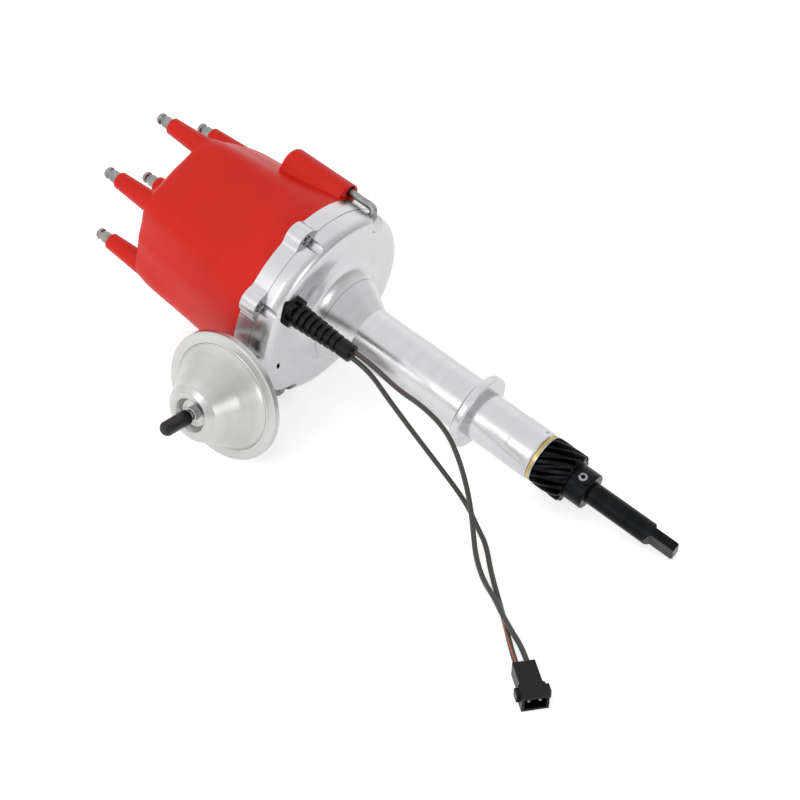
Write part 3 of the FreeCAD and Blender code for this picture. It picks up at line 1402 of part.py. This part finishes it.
def lead_points(side, middle, rest):
    """All points of one lead's route, from the end of the strain relief to the back of the plug."""
    ahead = rest.Rotation.multVec(V(0, 0, -1))
    across = V(0, 1, 1)
    across = (across - ahead * ahead.dot(across)).normalize()
    start = rest.multVec(gland_place(GLAND_END)) + across * side * LEAD_OFFSET
    place = plug_placement()
    rear = place.multVec(V(0, side * CONTACT_SPACING / 2, PLUG_HEIGHT / 2))
    behind = place.multVec(V(-LEAD_STRAIGHT, side * CONTACT_SPACING / 2, PLUG_HEIGHT / 2))
    points = [start, start + ahead * LEAD_STRAIGHT]
    points.extend(V(x, y, BENCH + height) for x, y, height in middle)
    points.extend([behind, rear])
    return points


os.makedirs("parts", exist_ok=True)
REST = resting_placement()
nodes = shaft_nodes()
for name, shape in nodes.items():
    placed = shape.copy()
    placed.Placement = REST.multiply(placed.Placement)
    nodes[name] = placed
nodes["plug_shell"] = plug_shell()
nodes["plug_contacts"] = plug_contacts()
leads = {
    "orange_stripe_lead": lead_points(-1, ORANGE_ROUTE, REST),
    "violet_stripe_lead": lead_points(1, VIOLET_ROUTE, REST),
}
for name, points in leads.items():
    tube, length, radii = lead_tube(points)
    nodes[name] = tube
    exact = math.pi * LEAD_R ** 2 * length
    print(name, "length", round(length, 1), "volume share", round(tube.Volume / exact, 4))
    print("bend radii", [round(radius, 1) for radius in radii])
    print("route", [(round(point.x, 2), round(point.y, 2), round(point.z, 2)) for point in points])
for name, shape in nodes.items():
    shape.exportStep("parts/" + name + ".step")
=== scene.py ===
import json

import bpy
from mathutils import Matrix, Vector


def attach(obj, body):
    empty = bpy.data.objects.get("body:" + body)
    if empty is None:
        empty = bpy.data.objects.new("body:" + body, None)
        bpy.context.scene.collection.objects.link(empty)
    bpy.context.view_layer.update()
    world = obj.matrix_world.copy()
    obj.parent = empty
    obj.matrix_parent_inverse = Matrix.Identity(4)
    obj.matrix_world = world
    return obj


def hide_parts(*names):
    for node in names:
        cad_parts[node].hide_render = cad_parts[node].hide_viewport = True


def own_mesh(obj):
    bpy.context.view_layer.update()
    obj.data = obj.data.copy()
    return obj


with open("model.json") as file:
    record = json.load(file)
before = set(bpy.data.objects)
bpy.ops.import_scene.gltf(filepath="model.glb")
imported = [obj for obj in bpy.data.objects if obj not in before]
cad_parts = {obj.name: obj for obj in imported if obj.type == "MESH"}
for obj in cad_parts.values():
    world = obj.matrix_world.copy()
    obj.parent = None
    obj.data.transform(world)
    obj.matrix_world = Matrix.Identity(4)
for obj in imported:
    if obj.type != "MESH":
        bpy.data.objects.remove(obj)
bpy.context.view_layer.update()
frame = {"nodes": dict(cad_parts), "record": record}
scene = bpy.context.scene
MM = 0.001

# Directions and places of the object, in the frame it lies in
SHAFT_UP = Vector((-0.977306, 0.0, 0.211829))
CAN_OUT = Vector((0.026995, -0.991827, 0.124674))
CAN_CENTRE = Vector((-0.115698, -0.003790, -0.005066))
COLLAR_FACE = Vector((0.0, 0.0, 0.0))
BENCH = -33.0 * MM

# Camera, at the photograph's place and angle
camera_data = bpy.data.cameras.new("camera")
camera_data.lens = 76.84
camera_data.sensor_width = 36.0
camera_data.clip_start = 0.05
camera_data.clip_end = 50.0
camera = bpy.data.objects.new("camera", camera_data)
scene.collection.objects.link(camera)
camera.matrix_world = Matrix((
    (0.782866, -0.392694, 0.482610, 0.406576),
    (0.622073, 0.478931, -0.619396, -0.592820),
    (0.012096, 0.785122, 0.619223, 0.574510),
    (0.0, 0.0, 0.0, 1.0),
))
scene.camera = camera

# The two leads, along the same points as their tubes
ORANGE_ROUTE = [
    (-55.5, -42.64, 36.62), (-43.77, -42.64, 34.08), (-30.0, -43.0, 22.0), (-10.0, -44.5, 8.0),
    (8.0, -44.5, -6.0), (24.0, -43.5, -21.0), (33.0, -45.5, -31.55), (44.0, -53.0, -31.55),
    (57.0, -67.0, -31.55), (71.0, -80.0, -31.55), (86.0, -94.0, -31.55), (98.64, -107.47, -28.75),
    (107.79, -115.24, -28.75),
]
VIOLET_ROUTE = [
    (-55.0, -40.21, 38.94), (-43.27, -40.21, 36.4), (-24.0, -42.5, 30.5), (-6.0, -43.0, 28.0),
    (9.0, -43.0, 20.0), (19.0, -44.0, 5.0), (29.0, -48.0, -13.0), (37.0, -55.0, -26.5),
    (45.0, -63.5, -31.55), (58.0, -75.0, -31.55), (72.0, -84.5, -28.4), (82.0, -92.0, -27.4),
    (92.0, -98.0, -27.8), (102.26, -103.2, -28.75), (111.41, -110.96, -28.75),
]
LEAD_RADIUS = 1.4 * MM


def lead(name, node, points):
    """A round lead as one smooth curve through its route, with its radius at the points."""
    curve = bpy.data.curves.new(name, "CURVE")
    curve.dimensions = "3D"
    spline = curve.splines.new("NURBS")
    spline.points.add(len(points) - 1)
    for point, place in zip(spline.points, points):
        point.co = (*(value * MM for value in place), 1.0)
        point.radius = LEAD_RADIUS
    spline.order_u = 3
    spline.use_endpoint_u = True
    spline.resolution_u = 12
    curve.bevel_depth = 1.0
    curve.bevel_resolution = 5
    curve.use_fill_caps = True
    piece = bpy.data.objects.new(name, curve)
    scene.collection.objects.link(piece)
    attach(piece, "housing_assembly")
    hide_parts(node)
    return piece


orange_lead = lead("orange_stripe_lead_skin", "orange_stripe_lead", ORANGE_ROUTE)
violet_lead = lead("violet_stripe_lead_skin", "violet_stripe_lead", VIOLET_ROUTE)


def hex_colour(text):
    """An sRGB colour written as six hex digits, as linear numbers."""
    parts = [int(text[i:i + 2], 16) / 255 for i in (0, 2, 4)]
    linear = [p / 12.92 if p <= 0.04045 else ((p + 0.055) / 1.055) ** 2.4 for p in parts]
    return (*linear, 1.0)


def per_metre(size):
    """A pattern's scale from the size of one feature in millimetres."""
    return 1 / (size * MM)


def add(tree, kind, sockets=None, out=0, **settings):
    """Adds one node with its settings, sets or links its sockets, and gives one of its outputs."""
    node = tree.nodes.new("ShaderNode" + kind)
    for name, value in settings.items():
        setattr(node, name, value)
    for socket, value in (sockets or {}).items():
        if isinstance(value, bpy.types.NodeSocket):
            tree.links.new(value, node.inputs[socket])
        else:
            node.inputs[socket].default_value = value
    return node.outputs[out] if node.outputs else None


def empty_tree(owner):
    """The node tree of a new material or world, cleared."""
    owner.use_nodes = True
    owner.node_tree.nodes.clear()
    return owner.node_tree


# Levels of a noise between which its tones, and its roughness, go from one end to the other
TONE_FROM, TONE_TO = 0.35, 0.65
ROUGH_FROM, ROUGH_TO = 0.3, 0.7
# Marks of handling on turned metal, about 16 mm across
HANDLING = 16.0
# The fine line where two cuts of the lathe meet on the cone: millimetres up the shaft, half width
CONE_SEAM = (96.5, 0.12)
# Painted shade in the creases at the can's rolled rim and at the foot of its cone, in millimetres out
# along the can
RIM_CREASE_SHADE = (77.0, 0.12)
CONE_CREASE_SHADE = (79.0, 0.1)
# Colour of the cone's real tool seam, and of the painted shade in the can's creases
SEAM_AND_CREASE_SHADE_COLOUR = "77787a"
# Covering of the leads: two tones, roughness, and the size and depth of its grain in millimetres
COVER_TONES = ("3b3c34", "2d2e28")
COVER_ROUGH = (0.36, 0.46)
COVER_GRAIN = 1.2
COVER_DEPTH = 0.006
# Width of the leads' stripes as a share of the way round, and how far they wind along a lead
STRIPE_HALF_WIDTH = 0.035
STRIPE_TURNS = 0.8


def turned_metal(name, pale, dull, rough, axis, centre, feed, wave, depth, stretch, seams_and_crease_shade=()):
    """Metal off a lathe: rings round an axis, faint waves, a highlight stretched across, and dark
    lines along the axis for a real tool seam and for painted shade in creases.
    """
    material = bpy.data.materials.new(name)
    tree = empty_tree(material)
    place = add(tree, "TexCoord", out="Object")
    from_centre = add(tree, "VectorMath", {0: place, 1: centre}, operation="SUBTRACT")
    along = add(tree, "VectorMath", {0: from_centre, 1: axis}, out="Value", operation="DOT_PRODUCT")
    round_it = add(tree, "VectorMath", {0: axis, 1: from_centre}, operation="CROSS_PRODUCT")
    radius = add(tree, "VectorMath", {0: round_it}, out="Value", operation="LENGTH")
    tangent = add(tree, "VectorMath", {0: round_it}, operation="NORMALIZE")
    rings = add(tree, "CombineXYZ", {0: along, 1: radius})
    cuts = add(tree, "TexNoise", {"Vector": rings, "Scale": per_metre(feed), "Detail": 3.0,
                                  "Roughness": 0.7})
    waves = add(tree, "TexNoise", {"Vector": rings, "Scale": per_metre(wave), "Detail": 2.0})
    handling = add(tree, "TexNoise", {"Vector": place, "Scale": per_metre(HANDLING), "Detail": 3.0})
    shade = add(tree, "MapRange", {"Value": waves, "From Min": TONE_FROM, "From Max": TONE_TO})
    colour = add(tree, "Mix", {"Factor": shade, 6: hex_colour(dull), 7: hex_colour(pale)},
                 out=2, data_type="RGBA")
    # Dark lines at given places along the axis: the cone's tool seam is real, the can's crease lines
    # are painted shade
    for line_along, half_width in seams_and_crease_shade:
        line = add(tree, "Math", {0: along, 1: line_along * MM, 2: half_width * MM}, operation="COMPARE")
        colour = add(tree, "Mix", {"Factor": line, 6: colour, 7: hex_colour(SEAM_AND_CREASE_SHADE_COLOUR)},
                     out=2, data_type="RGBA")
    roughness = add(tree, "MapRange", {
        "Value": handling, "From Min": ROUGH_FROM, "From Max": ROUGH_TO,
        "To Min": rough[0], "To Max": rough[1],
    })
    normal = add(tree, "Bump", {"Height": cuts, "Distance": depth * MM, "Strength": 1.0})
    surface = add(tree, "BsdfPrincipled", {
        "Base Color": colour, "Metallic": 1.0, "Roughness": roughness, "Anisotropic": stretch,
        "Tangent": tangent, "Normal": normal,
    })
    add(tree, "OutputMaterial", {"Surface": surface})
    return material


def even_finish(name, pale, dull, rough, metallic, patch, grain, depth, gloss=0.5):
    """A finish without direction: soft patches of tone over a fine grain."""
    material = bpy.data.materials.new(name)
    tree = empty_tree(material)
    place = add(tree, "TexCoord", out="Object")
    patches = add(tree, "TexNoise", {"Vector": place, "Scale": per_metre(patch), "Detail": 3.0})
    fine = add(tree, "TexNoise", {"Vector": place, "Scale": per_metre(grain), "Detail": 3.0,
                                  "Roughness": 0.6})
    shade = add(tree, "MapRange", {"Value": patches, "From Min": TONE_FROM, "From Max": TONE_TO})
    colour = add(tree, "Mix", {"Factor": shade, 6: hex_colour(dull), 7: hex_colour(pale)},
                 out=2, data_type="RGBA")
    roughness = add(tree, "MapRange", {
        "Value": fine, "From Min": ROUGH_FROM, "From Max": ROUGH_TO,
        "To Min": rough[0], "To Max": rough[1],
    })
    normal = add(tree, "Bump", {"Height": fine, "Distance": depth * MM, "Strength": 1.0})
    surface = add(tree, "BsdfPrincipled", {
        "Base Color": colour, "Metallic": metallic, "Roughness": roughness,
        "Specular IOR Level": gloss, "Normal": normal,
    })
    add(tree, "OutputMaterial", {"Surface": surface})
    return material


def striped_insulation(name, stripe, start):
    """Olive black covering of a lead, with one thin coloured stripe that winds slowly round it."""
    material = bpy.data.materials.new(name)
    tree = empty_tree(material)
    way = add(tree, "SeparateXYZ", {0: add(tree, "TexCoord", out="UV")}, out="X")
    round_it = add(tree, "SeparateXYZ", {0: add(tree, "TexCoord", out="UV")}, out="Y")
    wound = add(tree, "Math", {0: way, 1: STRIPE_TURNS, 2: round_it}, operation="MULTIPLY_ADD")
    turned = add(tree, "Math", {0: wound, 1: 1.0}, operation="FLOORED_MODULO")
    on_stripe = add(tree, "Math", {0: turned, 1: start, 2: STRIPE_HALF_WIDTH}, operation="COMPARE")
    place = add(tree, "TexCoord", out="Object")
    grain = add(tree, "TexNoise", {"Vector": place, "Scale": per_metre(COVER_GRAIN), "Detail": 3.0})
    tones = [hex_colour(tone) for tone in COVER_TONES]
    cover = add(tree, "Mix", {"Factor": grain, 6: tones[0], 7: tones[1]}, out=2, data_type="RGBA")
    colour = add(tree, "Mix", {"Factor": on_stripe, 6: cover, 7: hex_colour(stripe)},
                 out=2, data_type="RGBA")
    roughness = add(tree, "MapRange", {
        "Value": grain, "From Min": ROUGH_FROM, "From Max": ROUGH_TO,
        "To Min": COVER_ROUGH[0], "To Max": COVER_ROUGH[1],
    })
    normal = add(tree, "Bump", {"Height": grain, "Distance": COVER_DEPTH * MM, "Strength": 1.0})
    surface = add(tree, "BsdfPrincipled", {"Base Color": colour, "Roughness": roughness,
                                           "Normal": normal})
    add(tree, "OutputMaterial", {"Surface": surface})
    return material


# Machined aluminium: the tool's feed of 0.1 mm is drawn 0.4 mm wide so that it shows as fine rings
aluminium = turned_metal("machined_aluminium", "c9c9cb", "c5c5c7", (0.2, 0.28),
                         SHAFT_UP, COLLAR_FACE, feed=0.4, wave=5.5, depth=0.006, stretch=0.7,
                         seams_and_crease_shade=(CONE_SEAM,))
# Zinc plated pressed sheet: satin and slightly cloudy, with the press tool's broad rings and painted
# shade in the creases at its rim and cone foot
zinc_sheet = turned_metal("zinc_plated_sheet", "c5c6c4", "b8b9b7", (0.24, 0.34),
                          CAN_OUT, CAN_CENTRE, feed=0.7, wave=9.0, depth=0.014, stretch=0.3,
                          seams_and_crease_shade=(RIM_CREASE_SHADE, CONE_CREASE_SHADE))
# Ground and hardened shaft steel under a thin oil film: dark, with rings from the grinding wheel
shaft_steel = turned_metal("ground_shaft_steel", "1f2021", "18191a", (0.3, 0.4),
                           SHAFT_UP, COLLAR_FACE, feed=0.45, wave=6.0, depth=0.006, stretch=0.4)
# Black oxide on the hobbed gear and its pin: nearly black with soft grey glints
black_oxide = even_finish("black_oxide_steel", "202123", "151618", (0.26, 0.42),
                          metallic=1.0, patch=7.0, grain=0.4, depth=0.006)
# Rolled brass: a yellow that is slightly patchy where it has been handled
brass = even_finish("rolled_brass", "cbb577", "b09a60", (0.24, 0.36),
                    metallic=1.0, patch=8.0, grain=0.4, depth=0.004)
# Oil soaked sintered bronze: matt, with 0.25 mm pores
bronze = even_finish("sintered_bronze", "a9805a", "8f6a48", (0.4, 0.55),
                     metallic=1.0, patch=3.3, grain=0.25, depth=0.010)
# Nickel plated posts and contacts: bright, softly mottled
nickel = even_finish("nickel_plated_steel", "9a9a98", "7c7c7a", (0.24, 0.36),
                     metallic=1.0, patch=6.0, grain=0.4, depth=0.004)
# Zinc plated wire, screws and small turned parts: bright grey
zinc_steel = even_finish("zinc_plated_steel", "c9cac9", "a8a9a9", (0.2, 0.34),
                         metallic=1.0, patch=6.5, grain=0.4, depth=0.005)
# Drawn rod of the latch hooks: duller zinc
drawn_rod = even_finish("zinc_plated_drawn_rod", "9c9d9e", "7c7d7e", (0.28, 0.4),
                        metallic=1.0, patch=5.0, grain=0.4, depth=0.006)
# Drawn spring wire: plain grey steel with a satin drawn skin
spring_wire = even_finish("drawn_spring_wire", "a9aaac", "8f9092", (0.25, 0.36),
                          metallic=1.0, patch=5.0, grain=0.33, depth=0.004)
# Red polyester moulding compound: even red, satin from the mould, faint flow patches 28 mm across
red_moulding = even_finish("moulded_red_polyester", "d21a0c", "ca1709", (0.4, 0.5),
                           metallic=0.0, patch=28.0, grain=0.33, depth=0.006, gloss=0.22)
# Black moulded nylon of the plug and the strain relief: satin, 0.3 mm mould grain
black_nylon = even_finish("moulded_black_nylon", "0e0e0f", "09090a", (0.3, 0.42),
                          metallic=0.0, patch=8.0, grain=0.3, depth=0.010, gloss=0.2)
# Plain insulation, for the solid leads under the striped ones: olive black, satin
insulation = even_finish("lead_insulation", "3a3b34", "2f302a", (0.4, 0.5),
                         metallic=0.0, patch=6.5, grain=0.3, depth=0.006)
# Soft black vinyl of the shipping cap: dipped, smooth, satin
vinyl = even_finish("dipped_black_vinyl", "121211", "0c0c0b", (0.2, 0.3),
                    metallic=0.0, patch=8.0, grain=0.4, depth=0.004, gloss=0.35)
# Fabric backed rubber of the diaphragm: matt black
rubber = even_finish("fabric_backed_rubber", "2a2a2a", "202020", (0.6, 0.7),
                     metallic=0.0, patch=10.0, grain=0.4, depth=0.010)
# Phenolic moulding of the rotor: very dark brown, satin
phenolic = even_finish("phenolic_moulding", "26221f", "1d1a18", (0.38, 0.5),
                       metallic=0.0, patch=10.0, grain=0.33, depth=0.008)
# Sintered ferrite of the ring magnet: matt slate grey
ferrite = even_finish("sintered_ferrite", "4b4c4f", "3d3e41", (0.5, 0.62),
                      metallic=0.2, patch=5.0, grain=0.3, depth=0.010)
# Varnished copper winding: dark copper red, the turns of 0.2 mm wire read as a grain
winding = even_finish("varnished_winding", "7c3a22", "5e2a18", (0.25, 0.4),
                      metallic=0.3, patch=5.0, grain=0.2, depth=0.020)
# Pressed carbon of the brush: dull dark grey
carbon = even_finish("pressed_carbon", "2b2b2d", "202022", (0.45, 0.6),
                     metallic=0.1, patch=5.0, grain=0.3, depth=0.006)
# The covers of the two leads, each with its stripe's colour and place round the lead
orange_cover = striped_insulation("orange_striped_insulation", "b9562c", start=0.07)
violet_cover = striped_insulation("violet_striped_insulation", "5d2f45", start=0.3)

FINISHES = {
    "cast_aluminium": aluminium,
    "cap_plastic": red_moulding,
    "terminal_steel": nickel,
    "black_steel": black_oxide,
    "shaft_steel": shaft_steel,
    "thrust_brass": brass,
    "bronze": bronze,
    "plated_steel": zinc_steel,
    "spring_steel": spring_wire,
    "black_nylon": black_nylon,
    "lead_cover": insulation,
    "vinyl": vinyl,
    "rubber": rubber,
    "rotor_plastic": phenolic,
    "magnet": ferrite,
    "winding": winding,
    "carbon": carbon,
    "contact_brass": brass,
}
# Pieces that look different from the rest of their slot
SPECIAL = {
    "vacuum_dome": zinc_sheet,
    "vacuum_bracket": zinc_sheet,
    "latch_hook_front": drawn_rod,
    "latch_hook_rear": drawn_rod,
    "vacuum_nipple": zinc_steel,
}
for entry in frame["record"]["subparts"]:
    piece = frame["nodes"][entry["node"]]
    finish = SPECIAL.get(entry["node"]) or FINISHES[entry["material_slot"]]
    piece.data.materials.clear()
    piece.data.materials.append(finish)
orange_lead.data.materials.append(orange_cover)
violet_lead.data.materials.append(violet_cover)


def pressed_spring(node):
    """A spring as its own piece, on a copy of its mesh, hung from the housing in place of the part.
    """
    mesh = frame["nodes"][node].data.copy()
    coil = bpy.data.objects.new(node + "_coil", mesh)
    scene.collection.objects.link(coil)
    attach(coil, "housing_assembly")
    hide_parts(node)
    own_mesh(coil)


# Springs that are pressed together
pressed_spring("latch_spring_front")
pressed_spring("latch_spring_rear")
pressed_spring("brush_spring")
pressed_spring("vacuum_spring")

WHITE = (1, 1, 1, 1)
# The paper's own grey, and its glow: where it is looked at or mirrored, and as light on the object
PAPER_GREY = (0.8, 0.8, 0.8, 1)
PAPER_GLOW = 0.55
PAPER_SPILL = 0.3
# Half the side of the bench top in metres, and how far it lies under the object in millimetres
BENCH_REACH = 3.0
BENCH_GAP = 0.1
# The room: its bright side, and its levels at the far end and the bright end of a gradient
BRIGHT_SIDE = (-0.75, 0.0, 0.66)
GRADIENT_FROM, GRADIENT_TO = -0.7, 0.5
ROOM_DIM = 0.6
ROOM_BRIGHT = 1.32
# Grey screens in the room: how many across it, the noise levels at their edges, and their shade
SCREENS_ACROSS = 1.7
SCREEN_FROM, SCREEN_TO = 0.4, 0.6
SCREEN_SHADE = 0.84
# The share of the room's mirrored brightness that also lights the object
ROOM_LIGHT = 0.56
# Lamps, in watts
KEY_POWER = 12.0
STRIP_POWER = 2.4
SIDE_POWER = 3.2

# Bench top under the object: matt white, with the object's shadow on it
corners = [(-BENCH_REACH, -BENCH_REACH, 0), (BENCH_REACH, -BENCH_REACH, 0),
           (BENCH_REACH, BENCH_REACH, 0), (-BENCH_REACH, BENCH_REACH, 0)]
bench_mesh = bpy.data.meshes.new("bench_top")
bench_mesh.from_pydata(corners, [], [(0, 1, 2, 3)])
bench = bpy.data.objects.new("bench_top", bench_mesh)
scene.collection.objects.link(bench)
bench.location = (0, 0, BENCH - BENCH_GAP * MM)
white_paper = bpy.data.materials.new("matt_white_paper")
paper_tree = empty_tree(white_paper)
paper_looked_at = add(paper_tree, "LightPath", out="Is Camera Ray")
paper_mirrored = add(paper_tree, "LightPath", out="Is Glossy Ray")
paper_through = add(paper_tree, "LightPath", out="Is Transmission Ray")
seen = add(paper_tree, "Math", {0: paper_looked_at, 1: paper_mirrored}, operation="MAXIMUM")
shown = add(paper_tree, "Math", {0: seen, 1: paper_through}, operation="MAXIMUM")
glow = add(paper_tree, "MapRange", {"Value": shown, "To Min": PAPER_SPILL, "To Max": PAPER_GLOW})
paper = add(paper_tree, "BsdfPrincipled", {
    "Base Color": PAPER_GREY, "Roughness": 0.7,
    "Emission Color": WHITE, "Emission Strength": glow,
})
add(paper_tree, "OutputMaterial", {"Surface": paper})
bench.data.materials.append(white_paper)

# The studio: white to the camera. The object mirrors a pale room with a bright side and grey
# screens, and a dimmer copy of the same room lights it
studio = bpy.data.worlds.new("studio")
scene.world = studio
room = empty_tree(studio)
direction = add(room, "TexCoord", out="Generated")
facing = add(room, "VectorMath", {0: direction, 1: BRIGHT_SIDE}, out="Value",
             operation="DOT_PRODUCT")
gradient = add(room, "MapRange", {
    "Value": facing, "From Min": GRADIENT_FROM, "From Max": GRADIENT_TO,
    "To Min": ROOM_DIM, "To Max": ROOM_BRIGHT,
})
shapes = add(room, "TexNoise", {"Vector": direction, "Scale": SCREENS_ACROSS, "Detail": 1.0})
screens = add(room, "MapRange", {
    "Value": shapes, "From Min": SCREEN_FROM, "From Max": SCREEN_TO,
    "To Min": SCREEN_SHADE, "To Max": 1.0,
})
mirrored_room = add(room, "Math", {0: gradient, 1: screens}, operation="MULTIPLY")
lighting_room = add(room, "Math", {0: mirrored_room, 1: ROOM_LIGHT}, operation="MULTIPLY")
in_reflection = add(room, "LightPath", out="Is Glossy Ray")
in_glass = add(room, "LightPath", out="Is Transmission Ray")
in_object = add(room, "Math", {0: in_reflection, 1: in_glass}, operation="MAXIMUM")
level = add(room, "Mix", {"Factor": in_object, 2: lighting_room, 3: mirrored_room},
            data_type="FLOAT")
by_camera = add(room, "LightPath", out="Is Camera Ray")
strength = add(room, "Mix", {"Factor": by_camera, 2: level, 3: 1.0}, data_type="FLOAT")
sky = add(room, "Background", {"Color": WHITE, "Strength": strength})
add(room, "OutputWorld", {"Surface": sky})


def soft_lamp(name, place, size, power, mirrored):
    """A square soft lamp aimed at the object's origin, which shiny metal mirrors if it is told to."""
    data = bpy.data.lights.new(name, "AREA")
    data.energy = power
    data.size = size
    lamp = bpy.data.objects.new(name, data)
    scene.collection.objects.link(lamp)
    lamp.location = place
    lamp.rotation_euler = (-Vector(place)).to_track_quat("-Z", "Y").to_euler()
    lamp.visible_glossy = mirrored


# The key stays out of the reflections, where it would burn out to flat white
soft_lamp("soft_box", (-0.4, -0.95, 1.45), 2.2, KEY_POWER, mirrored=False)
# Two smaller lamps, where the turned metal mirrors them to the camera
soft_lamp("strip_lamp", (-0.36, -1.55, 0.83), 0.6, STRIP_POWER, mirrored=True)
soft_lamp("side_lamp", (1.65, -0.5, 0.54), 0.8, SIDE_POWER, mirrored=True)
scene.view_settings.view_transform = "Standard"
